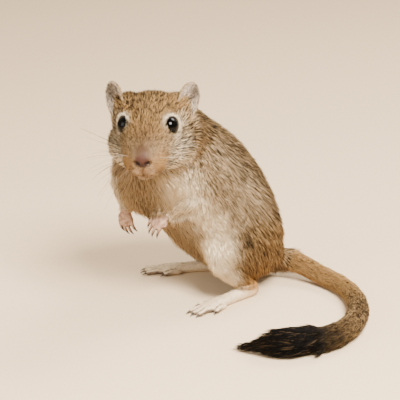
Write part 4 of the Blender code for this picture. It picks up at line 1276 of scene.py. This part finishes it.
darkWhiskers, paleWhiskers = [], []
for _, sign in sides:
    for row in range(whiskerPlan["rows"]):
        for column in range(whiskerPlan["columns"]):
            (darkWhiskers if (row + 2 * column) % 5 else paleWhiskers).append(whisker(sign, row, column))
for name, forms, colour in (
    ("whiskers-dark", darkWhiskers, (0.012, 0.008, 0.006)),
    ("whiskers-pale", paleWhiskers, (0.42, 0.33, 0.24)),
):
    whiskers = finished(name, *gathered(forms), plainMaterial(f"{name}-finish", colour, 0.4))
    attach(whiskers, "root")
print("eyes, claws and whiskers made")

for piece, slotName in [(skin, "body_coat"), *zip(coats, (values["slot"] for values in coatPieces.values()))]:
    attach(piece, "root")
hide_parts(*fleshNames)

# Floor, light and camera
stagePlan = {
    "floor": (0.66, 0.50, 0.33),
    "floorReach": 3000,
    "world": (1.0, 0.84, 0.60),
    "worldStrength": 0.66,
    "sensor": 36,
    "azimuth": 64.4,
    "elevation": 18.9,
    "distance": 0.650,
    "pixelsPerMillimetre": 3.045,
    "target": (14.0, 6.0, 36.0),
    "targetPixel": (213.6, 191.2),
    "picture": 400,
}
floorCorners = np.array([(-1, -1, 0), (1, -1, 0), (1, 1, 0), (-1, 1, 0)]) * stagePlan["floorReach"] * plan["mm"]
floor = meshObject("floor", floorCorners, [(0, 1, 2, 3)], inWorld=True)
dressIn(floor, plainMaterial("floorFinish", stagePlan["floor"], 0.9))


def directionOf(azimuth, elevation):
    a, e = math.radians(azimuth), math.radians(elevation)
    return Vector((math.sin(a) * math.cos(e), -math.cos(a) * math.cos(e), math.sin(e)))


target = Vector(toWorld(stagePlan["target"])[0])
camera = bpy.data.objects.new("camera", bpy.data.cameras.new("camera"))
scene.collection.objects.link(camera)
scene.camera = camera
towardCamera = directionOf(stagePlan["azimuth"], stagePlan["elevation"])
camera.location = target + towardCamera * stagePlan["distance"]
camera.rotation_mode = "QUATERNION"
camera.rotation_quaternion = towardCamera.to_track_quat("Z", "Y")
pictureWidth = stagePlan["picture"] / stagePlan["pixelsPerMillimetre"] * plan["mm"]
camera.data.sensor_width = stagePlan["sensor"]
camera.data.lens = stagePlan["sensor"] * stagePlan["distance"] / pictureWidth
camera.data.shift_x = -(stagePlan["targetPixel"][0] - stagePlan["picture"] / 2) / stagePlan["picture"]
camera.data.shift_y = (stagePlan["targetPixel"][1] - stagePlan["picture"] / 2) / stagePlan["picture"]
camera.data.clip_start = 0.01

lightPlan = {
    "key": {"azimuth": 88, "elevation": 48, "distance": 0.55, "size": 0.22, "watts": 14, "colour": (1.0, 0.94, 0.85)},
    "fill": {"azimuth": 15, "elevation": 25, "distance": 0.6, "size": 0.4, "watts": 2.8, "colour": (1.0, 0.95, 0.88)},
    "rim": {"azimuth": 200, "elevation": 50, "distance": 0.6, "size": 0.25, "watts": 4.5, "colour": (1.0, 0.95, 0.88)},
}
for name, values in lightPlan.items():
    lamp = bpy.data.objects.new(name, bpy.data.lights.new(name, "AREA"))
    lamp.data.size = values["size"]
    lamp.data.energy = values["watts"]
    lamp.data.color = values["colour"]
    toward = directionOf(values["azimuth"], values["elevation"])
    lamp.location = target + toward * values["distance"]
    lamp.rotation_mode = "QUATERNION"
    lamp.rotation_quaternion = toward.to_track_quat("Z", "Y")
    scene.collection.objects.link(lamp)
world = bpy.data.worlds.new("studio")
scene.world = world
world.use_nodes = True
background = world.node_tree.nodes["Background"].inputs
background["Color"].default_value = (*stagePlan["world"], 1)
background["Strength"].default_value = stagePlan["worldStrength"]
